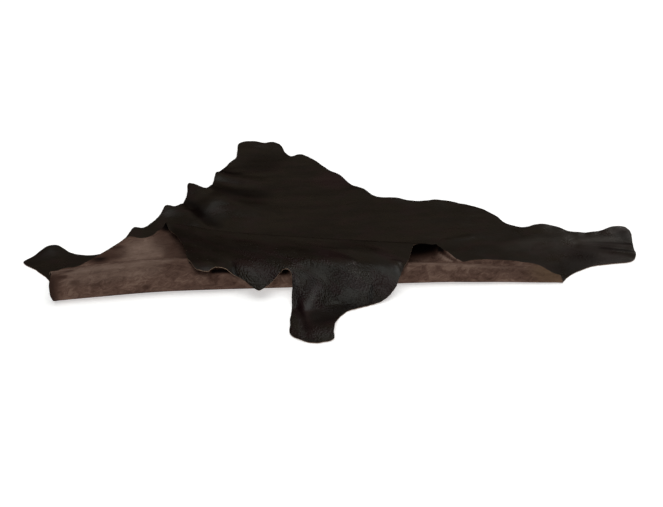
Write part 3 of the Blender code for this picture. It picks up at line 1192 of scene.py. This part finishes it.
class Finish(Enum):
    """The hide's finishes."""

    GRAIN = "grain"
    FLESH = "flesh"
    CUT_EDGE = "cut_edge"


@dataclass(frozen=True)
class GrainFinish:
    """The dyed and finished outer side, pebbled and softly glossy.

    Heights are in metres. A share is how much a noise counts in the tone, and a span says where
    a colour or the slackness sets in along its noise.
    """

    deep: Colour = (0.0078, 0.0048, 0.0034, 1.0)
    worn: Colour = (0.0124, 0.0082, 0.0056, 1.0)
    russet: Colour = (0.0160, 0.0066, 0.0072, 1.0)
    # The colour of painted shade, and of darker patches.
    dusk: Colour = (0.0034, 0.0017, 0.0016, 1.0)
    broad: Cells = Cells(0.40, 0.16, detail=3.0)
    streaks: Cells = Cells(0.110, 0.040, detail=4.0, strength=0.60, slant=6.0, twist=0.4)
    clouds: Cells = Cells(0.085, 0.070, detail=3.0, twist=0.4)
    folds: Cells = Cells(0.090, 0.034, detail=4.0, slant=-24.0, twist=0.4)
    wrinkles: Cells = Cells(0.009, 0.045, detail=3.0, strength=0.6, slant=8.0, twist=0.4)
    slack: Cells = Cells(0.070, 0.060, detail=2.0)
    tints: Cells = Cells(0.090, 0.060, detail=2.0)
    fine: Cells = Cells(0.0016, 0.0016, detail=2.0)
    broad_share: float = 0.6
    streak_share: float = 0.4
    worn_span: Span = (0.35, 0.65)
    russet_span: Span = (0.48, 0.66)
    russet_strength: float = 0.4
    loose_russet_strength: float = 0.3  # on top of that
    slack_span: Span = (0.34, 0.60)
    slack_patchiness: float = 0.5
    pebble_size: float = 0.0068
    pebble_softness: float = 0.35
    pebble_height: float = 0.0030  # where the grain is loose
    tight_pebble_height: float = 0.00015
    wrinkle_height: float = 0.0020
    streak_height: float = 0.0006
    fold_height: float = 0.0006
    loose_fold_height: float = 0.0010  # on top of that
    fine_height: float = 0.00005
    roughness: float = 0.33
    roughness_by_streak: float = 0.10
    roughness_by_cloud: float = 0.40
    reflection: float = 0.19
    reflection_tint: Colour = (0.98, 1.0, 0.93, 1.0)
    coat: float = 0.30  # where the leather shines
    coat_roughness: float = 0.30

    def material(self) -> bpy.types.Material:
        """Makes the finish.

        Returns:
            The material.
        """
        made = bpy.data.materials.new("dark_grain")
        graph = ShaderGraph(made)
        loose = graph.attribute("loose_grain")
        streaks = graph.noise(self.streaks)
        patchy = graph.noise(self.slack).between(*self.slack_span)
        slack = loose * (patchy * self.slack_patchiness + (1.0 - self.slack_patchiness))
        slack = slack * (1.0 - graph.attribute("smooth"))
        tone = graph.noise(self.broad) * self.broad_share + streaks * self.streak_share
        colour = graph.mixed(tone.between(*self.worn_span), self.deep, self.worn)
        tint = graph.noise(self.tints).between(*self.russet_span)
        tint = tint * (loose * self.loose_russet_strength + self.russet_strength)
        colour = graph.mixed(tint, colour, self.russet)
        colour = graph.mixed(graph.attribute("russet"), colour, self.russet)
        # Painted shade in hollows and creases, and darker patches elsewhere.
        colour = graph.mixed(graph.attribute("dusk"), colour, self.dusk)
        pebbles = 1.0 - graph.pebbles(self.pebble_size, self.pebble_softness)
        height = pebbles * (slack * self.pebble_height + self.tight_pebble_height)
        height = height + graph.noise(self.wrinkles) * (slack * self.wrinkle_height)
        height = height + streaks * self.streak_height
        fold_height = loose * self.loose_fold_height + self.fold_height
        height = height + graph.noise(self.folds) * fold_height
        height = height + graph.noise(self.fine) * self.fine_height
        roughness = self.roughness - streaks.swing() * self.roughness_by_streak
        roughness = roughness + graph.noise(self.clouds).swing() * self.roughness_by_cloud
        graph.dress(
            Base_Color=colour,
            Roughness=roughness,
            Normal=graph.relief(height),
            Specular_IOR_Level=self.reflection,
            Specular_Tint=self.reflection_tint,
            Coat_Weight=graph.attribute("gloss") * self.coat,
            Coat_Roughness=self.coat_roughness,
        )
        # Painted matt shade: a dark matt colour takes the place of the sheen in creases and in
        # darker patches.
        graph.dulled(graph.attribute("crease"), self.dusk)
        return made


@dataclass(frozen=True)
class FleshFinish:
    """The split inner side: matt suede, mottled and streaked.

    Heights are in metres. A share is how much a noise counts in the tone, and a span says where
    a colour sets in along it.
    """

    dark: Colour = (0.054, 0.028, 0.020, 1.0)
    middle: Colour = (0.108, 0.062, 0.046, 1.0)
    light: Colour = (0.178, 0.112, 0.084, 1.0)
    # The colour of painted light and highlights.
    pale: Colour = (0.240, 0.164, 0.128, 1.0)
    ochre: Colour = (0.125, 0.077, 0.044, 1.0)
    shade: Colour = DEEP_SHADE
    broad: Cells = Cells(0.18, 0.09, detail=3.0, twist=0.6)
    mottle: Cells = Cells(0.034, 0.026, detail=5.0, strength=0.68, slant=10.0, twist=1.0)
    streaks: Cells = Cells(0.050, 0.014, detail=4.0, strength=0.6, slant=18.0, twist=1.4)
    nap: Cells = Cells(0.0035, 0.0025, detail=3.0, strength=0.7)
    broad_share: float = 0.34
    mottle_share: float = 0.48
    streak_share: float = 0.18
    nap_share: float = 0.12
    middle_span: Span = (0.34, 0.52)
    light_span: Span = (0.49, 0.64)
    patch_by_tone: float = 1.6  # how the painted light and ochre patches grow with the tone
    stain_by_mottle: float = 1.8
    least_stain: float = 0.1
    stain_span: Span = (0.0, 0.64)
    shade_span: Span = (0.50, 1.0)  # along the stain and shade mask itself, towards painted deep shade
    mottle_height: float = 0.0012
    nap_height: float = 0.0004
    roughness: float = 0.95
    reflection: float = 0.10

    def material(self) -> bpy.types.Material:
        """Makes the finish.

        Returns:
            The material.
        """
        made = bpy.data.materials.new("brown_suede")
        graph = ShaderGraph(made)
        broad, streaks = graph.noise(self.broad), graph.noise(self.streaks)
        mottle, nap = graph.noise(self.mottle), graph.noise(self.nap)
        tone = broad * self.broad_share + mottle * self.mottle_share
        tone = tone + streaks * self.streak_share + nap.swing() * self.nap_share
        lower = graph.mixed(tone.between(*self.middle_span), self.dark, self.middle)
        colour = graph.mixed(tone.between(*self.light_span), lower, self.light)
        # Painted light and highlights on the flesh side.
        pale = graph.attribute("pale") * (tone * self.patch_by_tone)
        colour = graph.mixed(pale, colour, self.pale)
        ochre = graph.attribute("ochre") * (tone * self.patch_by_tone)
        colour = graph.mixed(ochre, colour, self.ochre)
        # Real stains and painted shade: blotchy darkening where the mask is weak, painted deep
        # shade where it is strong.
        stain = graph.attribute("stain")
        blotches = stain * (mottle * self.stain_by_mottle + self.least_stain)
        colour = graph.mixed(blotches.between(*self.stain_span), colour, self.dark)
        colour = graph.mixed(stain.between(*self.shade_span), colour, self.shade)
        graph.dress(
            Base_Color=colour,
            Roughness=self.roughness,
            Normal=graph.relief(mottle * self.mottle_height + nap * self.nap_height),
            Specular_IOR_Level=self.reflection,
        )
        return made


@dataclass(frozen=True)
class CutEdgeFinish:
    """The raw fibres where the hide was cut."""

    dark: Colour = (0.16, 0.10, 0.070, 1.0)
    light: Colour = (0.36, 0.25, 0.175, 1.0)
    shade: Colour = DEEP_SHADE
    fibres: Cells = Cells(0.004, 0.004, detail=4.0, strength=0.7)
    light_span: Span = (0.35, 0.65)  # where the light fibres set in along their noise
    fibre_height: float = 0.0006
    roughness: float = 0.9
    reflection: float = 0.15

    def material(self) -> bpy.types.Material:
        """Makes the finish.

        Returns:
            The material.
        """
        made = bpy.data.materials.new("tan_cut_edge")
        graph = ShaderGraph(made)
        fibres = graph.noise(self.fibres)
        colour = graph.mixed(fibres.between(*self.light_span), self.dark, self.light)
        # Painted shade: the cut edge turns to deep shade where the stain and shade mask is strong.
        graph.dress(
            Base_Color=graph.mixed(graph.attribute("stain"), colour, self.shade),
            Roughness=self.roughness,
            Normal=graph.relief(fibres * self.fibre_height),
            Specular_IOR_Level=self.reflection,
        )
        return made


class Mark(Enum):
    """What a patch does to the leather's tone, or the light or shade painted on it. The value names
    its mask on the mesh.
    """

    STAIN = "stain"  # real stains, and painted shade, on the flesh side and the cut edge
    PALE = "pale"  # painted light and highlights on the flesh side
    OCHRE = "ochre"  # turns the flesh side yellower
    RUSSET = "russet"  # turns the grain side redder
    DUSK = "dusk"  # painted shade in hollows and creases of the grain side, and darker patches elsewhere
    SMOOTH = "smooth"  # takes the pebbles and wrinkles from the grain side
    GLOSS = "gloss"  # makes the grain side shine
    CREASE = "crease"  # swaps the grain side's sheen for a dark matt colour: painted shade in creases, darker elsewhere


@dataclass(frozen=True)
class Patch:
    """A soft patch of another tone, or of painted light or shade, drawn out from its start to its
    end.
    """

    mark: Mark
    start: Stop
    end: Stop
    half_length: float
    half_width: float
    strength: float


def patches(mark: Mark, *rows: tuple[float, ...]) -> tuple[Patch, ...]:
    """Patches of one kind.

    Args:
        mark: What they do.
        rows: The zone, x and place of each, its half length, half width and strength and, where it
            is drawn out, the zone, x and place of its other end.

    Returns:
        The patches.
    """
    return tuple(
        Patch(mark, Stop(*row[:3]), Stop(*(row[6:] or row[:3])), *row[3:6]) for row in rows
    )


# Zone, x, place, half length, half width and strength; zone, x and place of the other end.
PATCHES = (
    *patches(
        Mark.STAIN,
        # Stains round the left end of the second layer and of the roll, and painted shade where the
        # roll's left end turns away.
        (LINING, -0.815, 0.58, 0.075, 0.075, 0.46),
        (LINING, -0.850, 0.48, 0.040, 0.022, 0.52),
        (LINING, -0.800, 0.68, 0.026, 0.016, 0.30),
        (LINING, -0.905, 0.05, 0.024, 0.018, 0.50),
        (ROLL, -0.915, 0.92, 0.020, 0.014, 0.52),
        (ROLL, -0.871, 0.74, 0.022, 0.014, 0.44),
        (ROLL, -0.635, 0.47, 0.014, 0.012, 0.45),
        (ROLL, -0.955, 0.62, 0.030, 0.090, 0.72),
        # Painted shade of a slit at the right end, and painted shade beside the cover.
        (LINING, 0.677, 0.64, 0.026, 0.010, 0.35),
        (LINING, -0.620, 0.80, 0.060, 0.080, 0.38),
        (LINING, -0.565, 0.58, 0.055, 0.090, 0.40),
        # Painted shade deep inside the bend at its open end, between its pleats, and in the small
        # hole.
        (BEND, 0.325, 0.60, 0.105, 0.043, 0.97),
        (BEND, 0.345, 0.98, 0.060, 0.024, 0.90),
        (BEND, 0.394, 0.55, 0.009, 0.008, 0.50, LINING, 0.446, 0.97),
        (BEND, -0.628, 0.60, 0.036, 0.042, 0.95),
        # Painted shadow under the cover's edge.
        (ROLL, -0.406, 0.80, 0.014, 0.012, 0.97, ROLL, -0.345, 0.82),
        (ROLL, -0.162, 0.78, 0.020, 0.016, 0.97, ROLL, -0.160, 0.86),
        # Painted shade along the foot of the roll.
        (ROLL, -0.880, 0.32, 0.060, 0.034, 0.15, ROLL, -0.350, 0.32),
    ),
    *patches(
        Mark.PALE,
        # Painted light behind the crest of the roll, and a painted highlight along it.
        (LINING, -0.690, 0.62, 0.090, 0.100, 0.80),
        (LINING, -0.900, 0.03, 0.030, 0.022, 0.60, LINING, -0.580, 0.07),
        (ROLL, -0.880, 0.88, 0.040, 0.034, 0.40, ROLL, -0.620, 0.90),
        (LINING, 0.300, 0.02, 0.030, 0.009, 0.35, LINING, 0.600, 0.03),
        # Painted highlights on the crests of the two pleats.
        (BEND, 0.378, 0.50, 0.009, 0.009, 0.90, LINING, 0.432, 0.97),
        (BEND, 0.412, 0.55, 0.009, 0.009, 0.90, LINING, 0.464, 0.97),
        # Painted highlight at the left end of the crest.
        (LINING, -0.965, 0.04, 0.030, 0.014, 0.80),
    ),
    *patches(
        Mark.OCHRE,
        # The right end of the second layer.
        (LINING, 0.775, 0.30, 0.080, 0.100, 0.90),
    ),
    *patches(
        Mark.RUSSET,
        # Where the cover bends over.
        (COVER, 0.000, 0.78, 0.055, 0.055, 0.85),
        (COVER, 0.195, 0.74, 0.045, 0.030, 0.80),
        (COVER, -0.290, 0.74, 0.070, 0.030, 0.60),
        # In the leg flap's valleys and along its right edge.
        (FALL, -0.105, 0.72, 0.014, 0.014, 0.90, FALL, -0.055, 0.46),
        (FALL, 0.190, 0.60, 0.045, 0.050, 0.80),
        (FLAP, -0.020, -0.475, 0.105, 0.060, 0.90),
        (FALL, -0.130, 0.40, 0.018, 0.030, 0.90, FLAP, -0.085, -0.520),
        # The middle of the back, the small tip and the narrow right end.
        (BASE, 0.020, 0.640, 0.100, 0.085, 1.00),
        (FALL, -0.285, 0.12, 0.065, 0.034, 0.80),
        (BASE, 0.930, -0.030, 0.110, 0.080, 0.55),
    ),
    *patches(
        Mark.DUSK,
        # Painted shade in the leg flap's hollow.
        (FLAP, -0.045, -0.470, 0.034, 0.050, 0.90, FLAP, 0.070, -0.415),
        # Darker on the flare and the narrow part before it.
        (BASE, 1.090, 0.110, 0.040, 0.040, 0.60),
        (BASE, 0.845, -0.130, 0.060, 0.060, 0.50, BASE, 0.920, -0.050),
        # Painted shade in the valleys of the leg flap and of the small tip.
        (FALL, -0.130, 0.45, 0.014, 0.020, 0.60, FLAP, -0.084, -0.530),
        (FALL, -0.338, 0.12, 0.012, 0.012, 0.60, FALL, -0.326, 0.42),
        (FALL, -0.085, 0.32, 0.030, 0.020, 0.45),
        (FALL, -0.100, 0.66, 0.010, 0.011, 0.60, FALL, -0.055, 0.42),
        (FALL, 0.137, 0.56, 0.006, 0.006, 0.90, FALL, 0.133, 0.88),
        # Painted shade in the creases of the bottom layer, and darker on the far leg.
        (BASE, -0.350, 0.500, 0.110, 0.045, 0.85),
        (BASE, -0.425, 0.705, 0.060, 0.022, 0.60),
        (BASE, -0.575, 0.402, 0.020, 0.026, 1.00, BASE, -0.432, 0.212),
        (BASE, -0.300, 0.840, 0.110, 0.100, 0.55),
    ),
    *patches(
        Mark.SMOOTH,
        # High on the leg flap, in its hollow, on the cover's brow and on the tip.
        (FALL, -0.070, 0.22, 0.060, 0.050, 0.55),
        (FLAP, -0.030, -0.470, 0.110, 0.065, 0.90),
        (COVER, -0.010, 0.90, 0.090, 0.040, 0.80),
        (FALL, -0.300, 0.12, 0.070, 0.030, 0.70),
    ),
    *patches(
        Mark.GLOSS,
        # Ridges of the leg flap and of the small tip.
        (FALL, -0.088, 1.00, 0.016, 0.018, 1.00, FALL, -0.040, 0.62),
        (FALL, 0.228, 0.20, 0.018, 0.030, 1.00),
        (FALL, -0.104, 0.14, 0.016, 0.012, 0.80),
        (FALL, -0.118, 0.42, 0.010, 0.016, 0.50),
        (FALL, 0.090, 0.55, 0.060, 0.050, 0.30),
        (FLAP, -0.030, -0.582, 0.050, 0.022, 0.70),
        (FLAP, -0.126, -0.470, 0.014, 0.016, 1.00, FLAP, -0.112, -0.565),
        # Along the right end of the bottom layer.
        (BASE, 1.060, 0.042, 0.020, 0.010, 1.00, BASE, 1.110, 0.034),
        (BASE, 0.780, 0.090, 0.260, 0.110, 0.25),
        (BASE, 0.660, 0.040, 0.040, 0.030, 0.80, BASE, 0.765, 0.105),
        (BASE, 0.930, 0.080, 0.030, 0.024, 0.80, BASE, 1.040, 0.100),
        # The cover's brow, and the ridge beside the left crease.
        (COVER, 0.050, 0.45, 0.260, 0.070, 0.35),
        (BASE, -0.525, 0.425, 0.034, 0.038, 0.45, BASE, -0.480, 0.345),
    ),
    *patches(
        Mark.CREASE,
        # Painted matt shade in the creases of the bottom layer.
        (BASE, -0.565, 0.378, 0.020, 0.024, 0.44, BASE, -0.510, 0.296),
        (BASE, -0.535, 0.330, 0.020, 0.016, 0.36, BASE, -0.458, 0.222),
        (BASE, -0.475, 0.702, 0.020, 0.015, 0.40, BASE, -0.390, 0.697),
        (BASE, -0.440, 0.525, 0.050, 0.034, 0.26, BASE, -0.300, 0.495),
        # Matt and darker in the flare, and painted matt shade in the grooves that run into it.
        (BASE, 1.105, 0.150, 0.026, 0.050, 0.45),
        (BASE, 1.000, 0.028, 0.014, 0.010, 0.26, BASE, 1.105, 0.006),
        # Matt and darker on the far leg and beside it.
        (BASE, -0.305, 0.800, 0.080, 0.075, 0.22),
        (BASE, -0.440, 0.610, 0.024, 0.016, 0.18, BASE, -0.380, 0.605),
        # Matt and darker over the narrow right end.
        (BASE, 1.060, 0.070, 0.090, 0.070, 0.20),
        (BASE, 0.930, 0.000, 0.090, 0.070, 0.24, BASE, 1.020, -0.010),
        (BASE, 0.845, -0.130, 0.060, 0.060, 0.26, BASE, 0.920, -0.050),
    ),
)


@dataclass
class Hide:
    """The leather hide, one sheet from edge to edge.

    Across it, the grain turns from tight to loose between the two places of loose_across. Along
    it, the grain turns loose between the first two places of loose_along, and tight again between
    the last two. The finishes stand in the order of the materials.
    """

    name: str = "hide_leather"
    sizes: SheetSizes = field(default_factory=SheetSizes)
    finishes: dict[Finish, GrainFinish | FleshFinish | CutEdgeFinish] = field(
        default_factory=lambda: {
            Finish.GRAIN: GrainFinish(),
            Finish.FLESH: FleshFinish(),
            Finish.CUT_EDGE: CutEdgeFinish(),
        }
    )
    sharp_angle: float = 50.0  # degrees
    loose_across: tuple[float, float] = (0.56, 0.68)
    loose_along: tuple[float, float, float, float] = (-0.37, -0.30, 0.24, 0.30)

    def __post_init__(self) -> None:
        """Lays out and folds the hide."""
        self.flat = FlatHide(FoldedShape(self.sizes, SECTIONS))
        self.surface = HideSurface(self.flat)

    def centred(self, points: Array) -> Array:
        """The points moved from the plan's origin to the solid's."""
        return points - np.array([*PLAN_MIDDLE, 0.0])

    def loose_grain(self) -> Array:
        """Where the grain is looser: over the leg flap and the small tip beside it.

        Returns:
            How loose it is at each point of the flat hide.
        """
        x, across = self.flat.points.T
        left_out, left_in, right_in, right_out = self.loose_along
        low, high = self.loose_across
        left = fade((left_in - x) / (left_in - left_out))
        right = fade((x - right_in) / (right_out - right_in))
        return left * right * (1 - fade((across - low) / (high - low)))

    def mask(self, mark: Mark) -> Array:
        """All patches of one kind together.

        Args:
            mark: The kind.

        Returns:
            How strong they are at each point of the flat hide.
        """
        total = np.zeros(len(self.flat.points))
        for item in (patch for patch in PATCHES if patch.mark is mark):
            size = np.array([item.half_length, item.half_width])
            start = np.array(self.flat.shape.flat_place(item.start))
            run = (np.array(self.flat.shape.flat_place(item.end)) - start) / size
            away = (self.flat.points - start) / size
            share = np.clip(away @ run / max(run @ run, TINY), 0, 1)
            away = away - share[:, None] * run
            total += item.strength * np.exp(-((away**2).sum(axis=1) ** 2))
        return np.clip(total, 0, 1)

    def build(self) -> bpy.types.Object:
        """Makes the sheet.

        Returns:
            The hide's object, with its thickness applied.
        """
        mesh = bpy.data.meshes.new(self.name)
        points = self.centred(self.surface.at(self.flat.points))
        mesh.from_pydata(points.tolist(), [], self.flat.triangles.tolist())
        masks = {mark.value: self.mask(mark) for mark in Mark}
        masks["loose_grain"] = self.loose_grain()
        for name, values in masks.items():
            attribute = mesh.attributes.new(name, "FLOAT", "POINT")
            attribute.data.foreach_set("value", values.astype(np.float32))
        layer = mesh.uv_layers.new(name="flat")
        corners = np.empty(len(mesh.loops), np.int32)
        mesh.loops.foreach_get("vertex_index", corners)
        layer.data.foreach_set("uv", self.flat.points[corners].astype(np.float32).ravel())
        mesh.shade_smooth()
        hide = bpy.data.objects.new(self.name, mesh)
        bpy.context.scene.collection.objects.link(hide)
        self.thicken(hide)
        return hide

    def thicken(self, hide: bpy.types.Object) -> None:
        """Gives the sheet its thickness, its finishes and sharp rims.

        Args:
            hide: The sheet.
        """
        for finish in self.finishes.values():
            hide.data.materials.append(finish.material())
        order = list(self.finishes)
        sheet = hide.modifiers.new("thickness", "SOLIDIFY")
        sheet.thickness = self.sizes.thickness
        sheet.offset = 0.0
        sheet.material_offset = order.index(Finish.FLESH)
        sheet.material_offset_rim = order.index(Finish.CUT_EDGE)
        graph = bpy.context.evaluated_depsgraph_get()
        solid = bpy.data.meshes.new_from_object(hide.evaluated_get(graph))
        hide.modifiers.clear()
        hide.data = solid
        solid.set_sharp_from_angle(angle=math.radians(self.sharp_angle))

    def declare(self, hide: bpy.types.Object) -> None:
        """Says what the sheet is, what it stands for and what carries it.

        Args:
            hide: The sheet.
        """
        low, high = self.flat.points.min(axis=0), self.flat.points.max(axis=0)
        width, length = (float(v) for v in high - low)
        area = self.flat.area()
        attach(hide, "root")
        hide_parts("hide")
        LOG.info("hide: %.3f x %.3f m flat, %.3f square metres", width, length, area)


@dataclass(frozen=True)
class Lamp:
    """One wide soft light, far away."""

    name: str
    strength: float
    spread: float  # degrees from side to side
    height: float  # degrees above the surface
    bearing: float  # degrees from behind the camera, towards the right
    colour: tuple[float, float, float]


@dataclass
class Studio:
    """The pale floor, the soft lights and the camera."""

    floor_size: float = 60.0
    floor_height: float = -0.0004
    floor_colour: Colour = (0.92, 0.905, 0.885, 1.0)
    floor_roughness: float = 0.9
    floor_reflection: float = 0.05
    floor_glow: float = 0.50
    glow_colour: Colour = (1.0, 1.0, 1.0, 1.0)
    surround: Colour = (0.014, 0.012, 0.009, 1.0)
    lamp_distance: float = 4.0
    lamps: tuple[Lamp, ...] = (
        Lamp("overhead_softbox", 1.30, 64.0, 87.0, 0.0, (0.96, 0.99, 1.0)),
        Lamp("front_fill", 0.76, 70.0, 50.0, 0.0, (0.97, 0.99, 1.0)),
        Lamp("back_bounce", 0.078, 44.0, 44.0, 180.0, (1.0, 0.84, 0.62)),
    )
    panel_place: tuple[float, float, float] = (4.6, 5.6, 3.4)
    panel_size: tuple[float, float] = (3.4, 2.4)
    panel_power: float = 66.0
    panel_colour: tuple[float, float, float] = (1.0, 0.94, 0.90)
    elevation: float = 28.0
    distance: float = 4.4
    lens: float = 65.0
    sensor: float = 36.0
    target: tuple[float, float, float] = (-PLAN_MIDDLE[0], -PLAN_MIDDLE[1], 0.0)

    def build(self) -> None:
        """Makes everything round the hide."""
        self.make_floor()
        self.make_surround()
        for lamp in self.lamps:
            self.make_lamp(lamp)
        self.make_back_panel()
        self.make_camera()

    def make_back_panel(self) -> None:
        """A soft panel at the back right, which the right end of the hide reflects."""
        light = bpy.data.lights.new("back_panel", "AREA")
        light.shape = "RECTANGLE"
        light.size, light.size_y = self.panel_size
        light.energy = self.panel_power
        light.color = self.panel_colour
        made = bpy.data.objects.new("back_panel", light)
        bpy.context.scene.collection.objects.link(made)
        made.location = self.panel_place
        made.rotation_euler = Vector(self.panel_place).to_track_quat("Z", "Y").to_euler()
        made.visible_camera = False

    def make_floor(self) -> None:
        """A plain floor, just under the hide."""
        place = (0.0, 0.0, self.floor_height)
        bpy.ops.mesh.primitive_plane_add(size=self.floor_size, location=place)
        floor = bpy.context.object
        floor.name = "studio_floor"
        material = bpy.data.materials.new("pale_floor")
        ShaderGraph(material).dress(
            Base_Color=self.floor_colour,
            Roughness=self.floor_roughness,
            Specular_IOR_Level=self.floor_reflection,
            Emission_Color=self.glow_colour,
            Emission_Strength=self.floor_glow,
        )
        floor.data.materials.append(material)
        floor.visible_glossy = False

    def make_surround(self) -> None:
        """An even dim room."""
        world = bpy.data.worlds.new("room")
        bpy.context.scene.world = world
        world.use_nodes = True
        background = world.node_tree.nodes["Background"]
        background.inputs["Color"].default_value = self.surround
        background.inputs["Strength"].default_value = 1.0

    def make_lamp(self, lamp: Lamp) -> None:
        """Makes one wide soft light.

        Args:
            lamp: Its sizes.
        """
        light = bpy.data.lights.new(lamp.name, "SUN")
        light.energy = lamp.strength
        light.angle = math.radians(lamp.spread)
        light.color = lamp.colour
        made = bpy.data.objects.new(lamp.name, light)
        bpy.context.scene.collection.objects.link(made)
        height, bearing = math.radians(lamp.height), math.radians(lamp.bearing)
        level = math.cos(height)
        source = Vector((math.sin(bearing) * level, -math.cos(bearing) * level, math.sin(height)))
        made.rotation_euler = source.to_track_quat("Z", "Y").to_euler()
        made.location = source * self.lamp_distance

    def make_camera(self) -> None:
        """The camera, looking down at the hide from the front."""
        lens = bpy.data.cameras.new("camera")
        lens.lens = self.lens
        lens.sensor_width = self.sensor
        camera = bpy.data.objects.new("camera", lens)
        bpy.context.scene.collection.objects.link(camera)
        angle = math.radians(self.elevation)
        back = Vector((0.0, -math.cos(angle), math.sin(angle)))
        camera.location = Vector(self.target) + back * self.distance
        camera.rotation_euler = (math.pi / 2 - angle, 0.0, 0.0)
        bpy.context.scene.camera = camera
        bpy.context.scene.view_settings.view_transform = "Standard"


def main() -> None:
    """Builds the hide and the studio."""
    logging.basicConfig(level=logging.INFO)
    Studio().build()
    hide = Hide()
    made = hide.build()
    hide.declare(made)
    LOG.info("%s: %d faces", made.name, len(made.data.polygons))


if __name__ == "__main__":
    main()
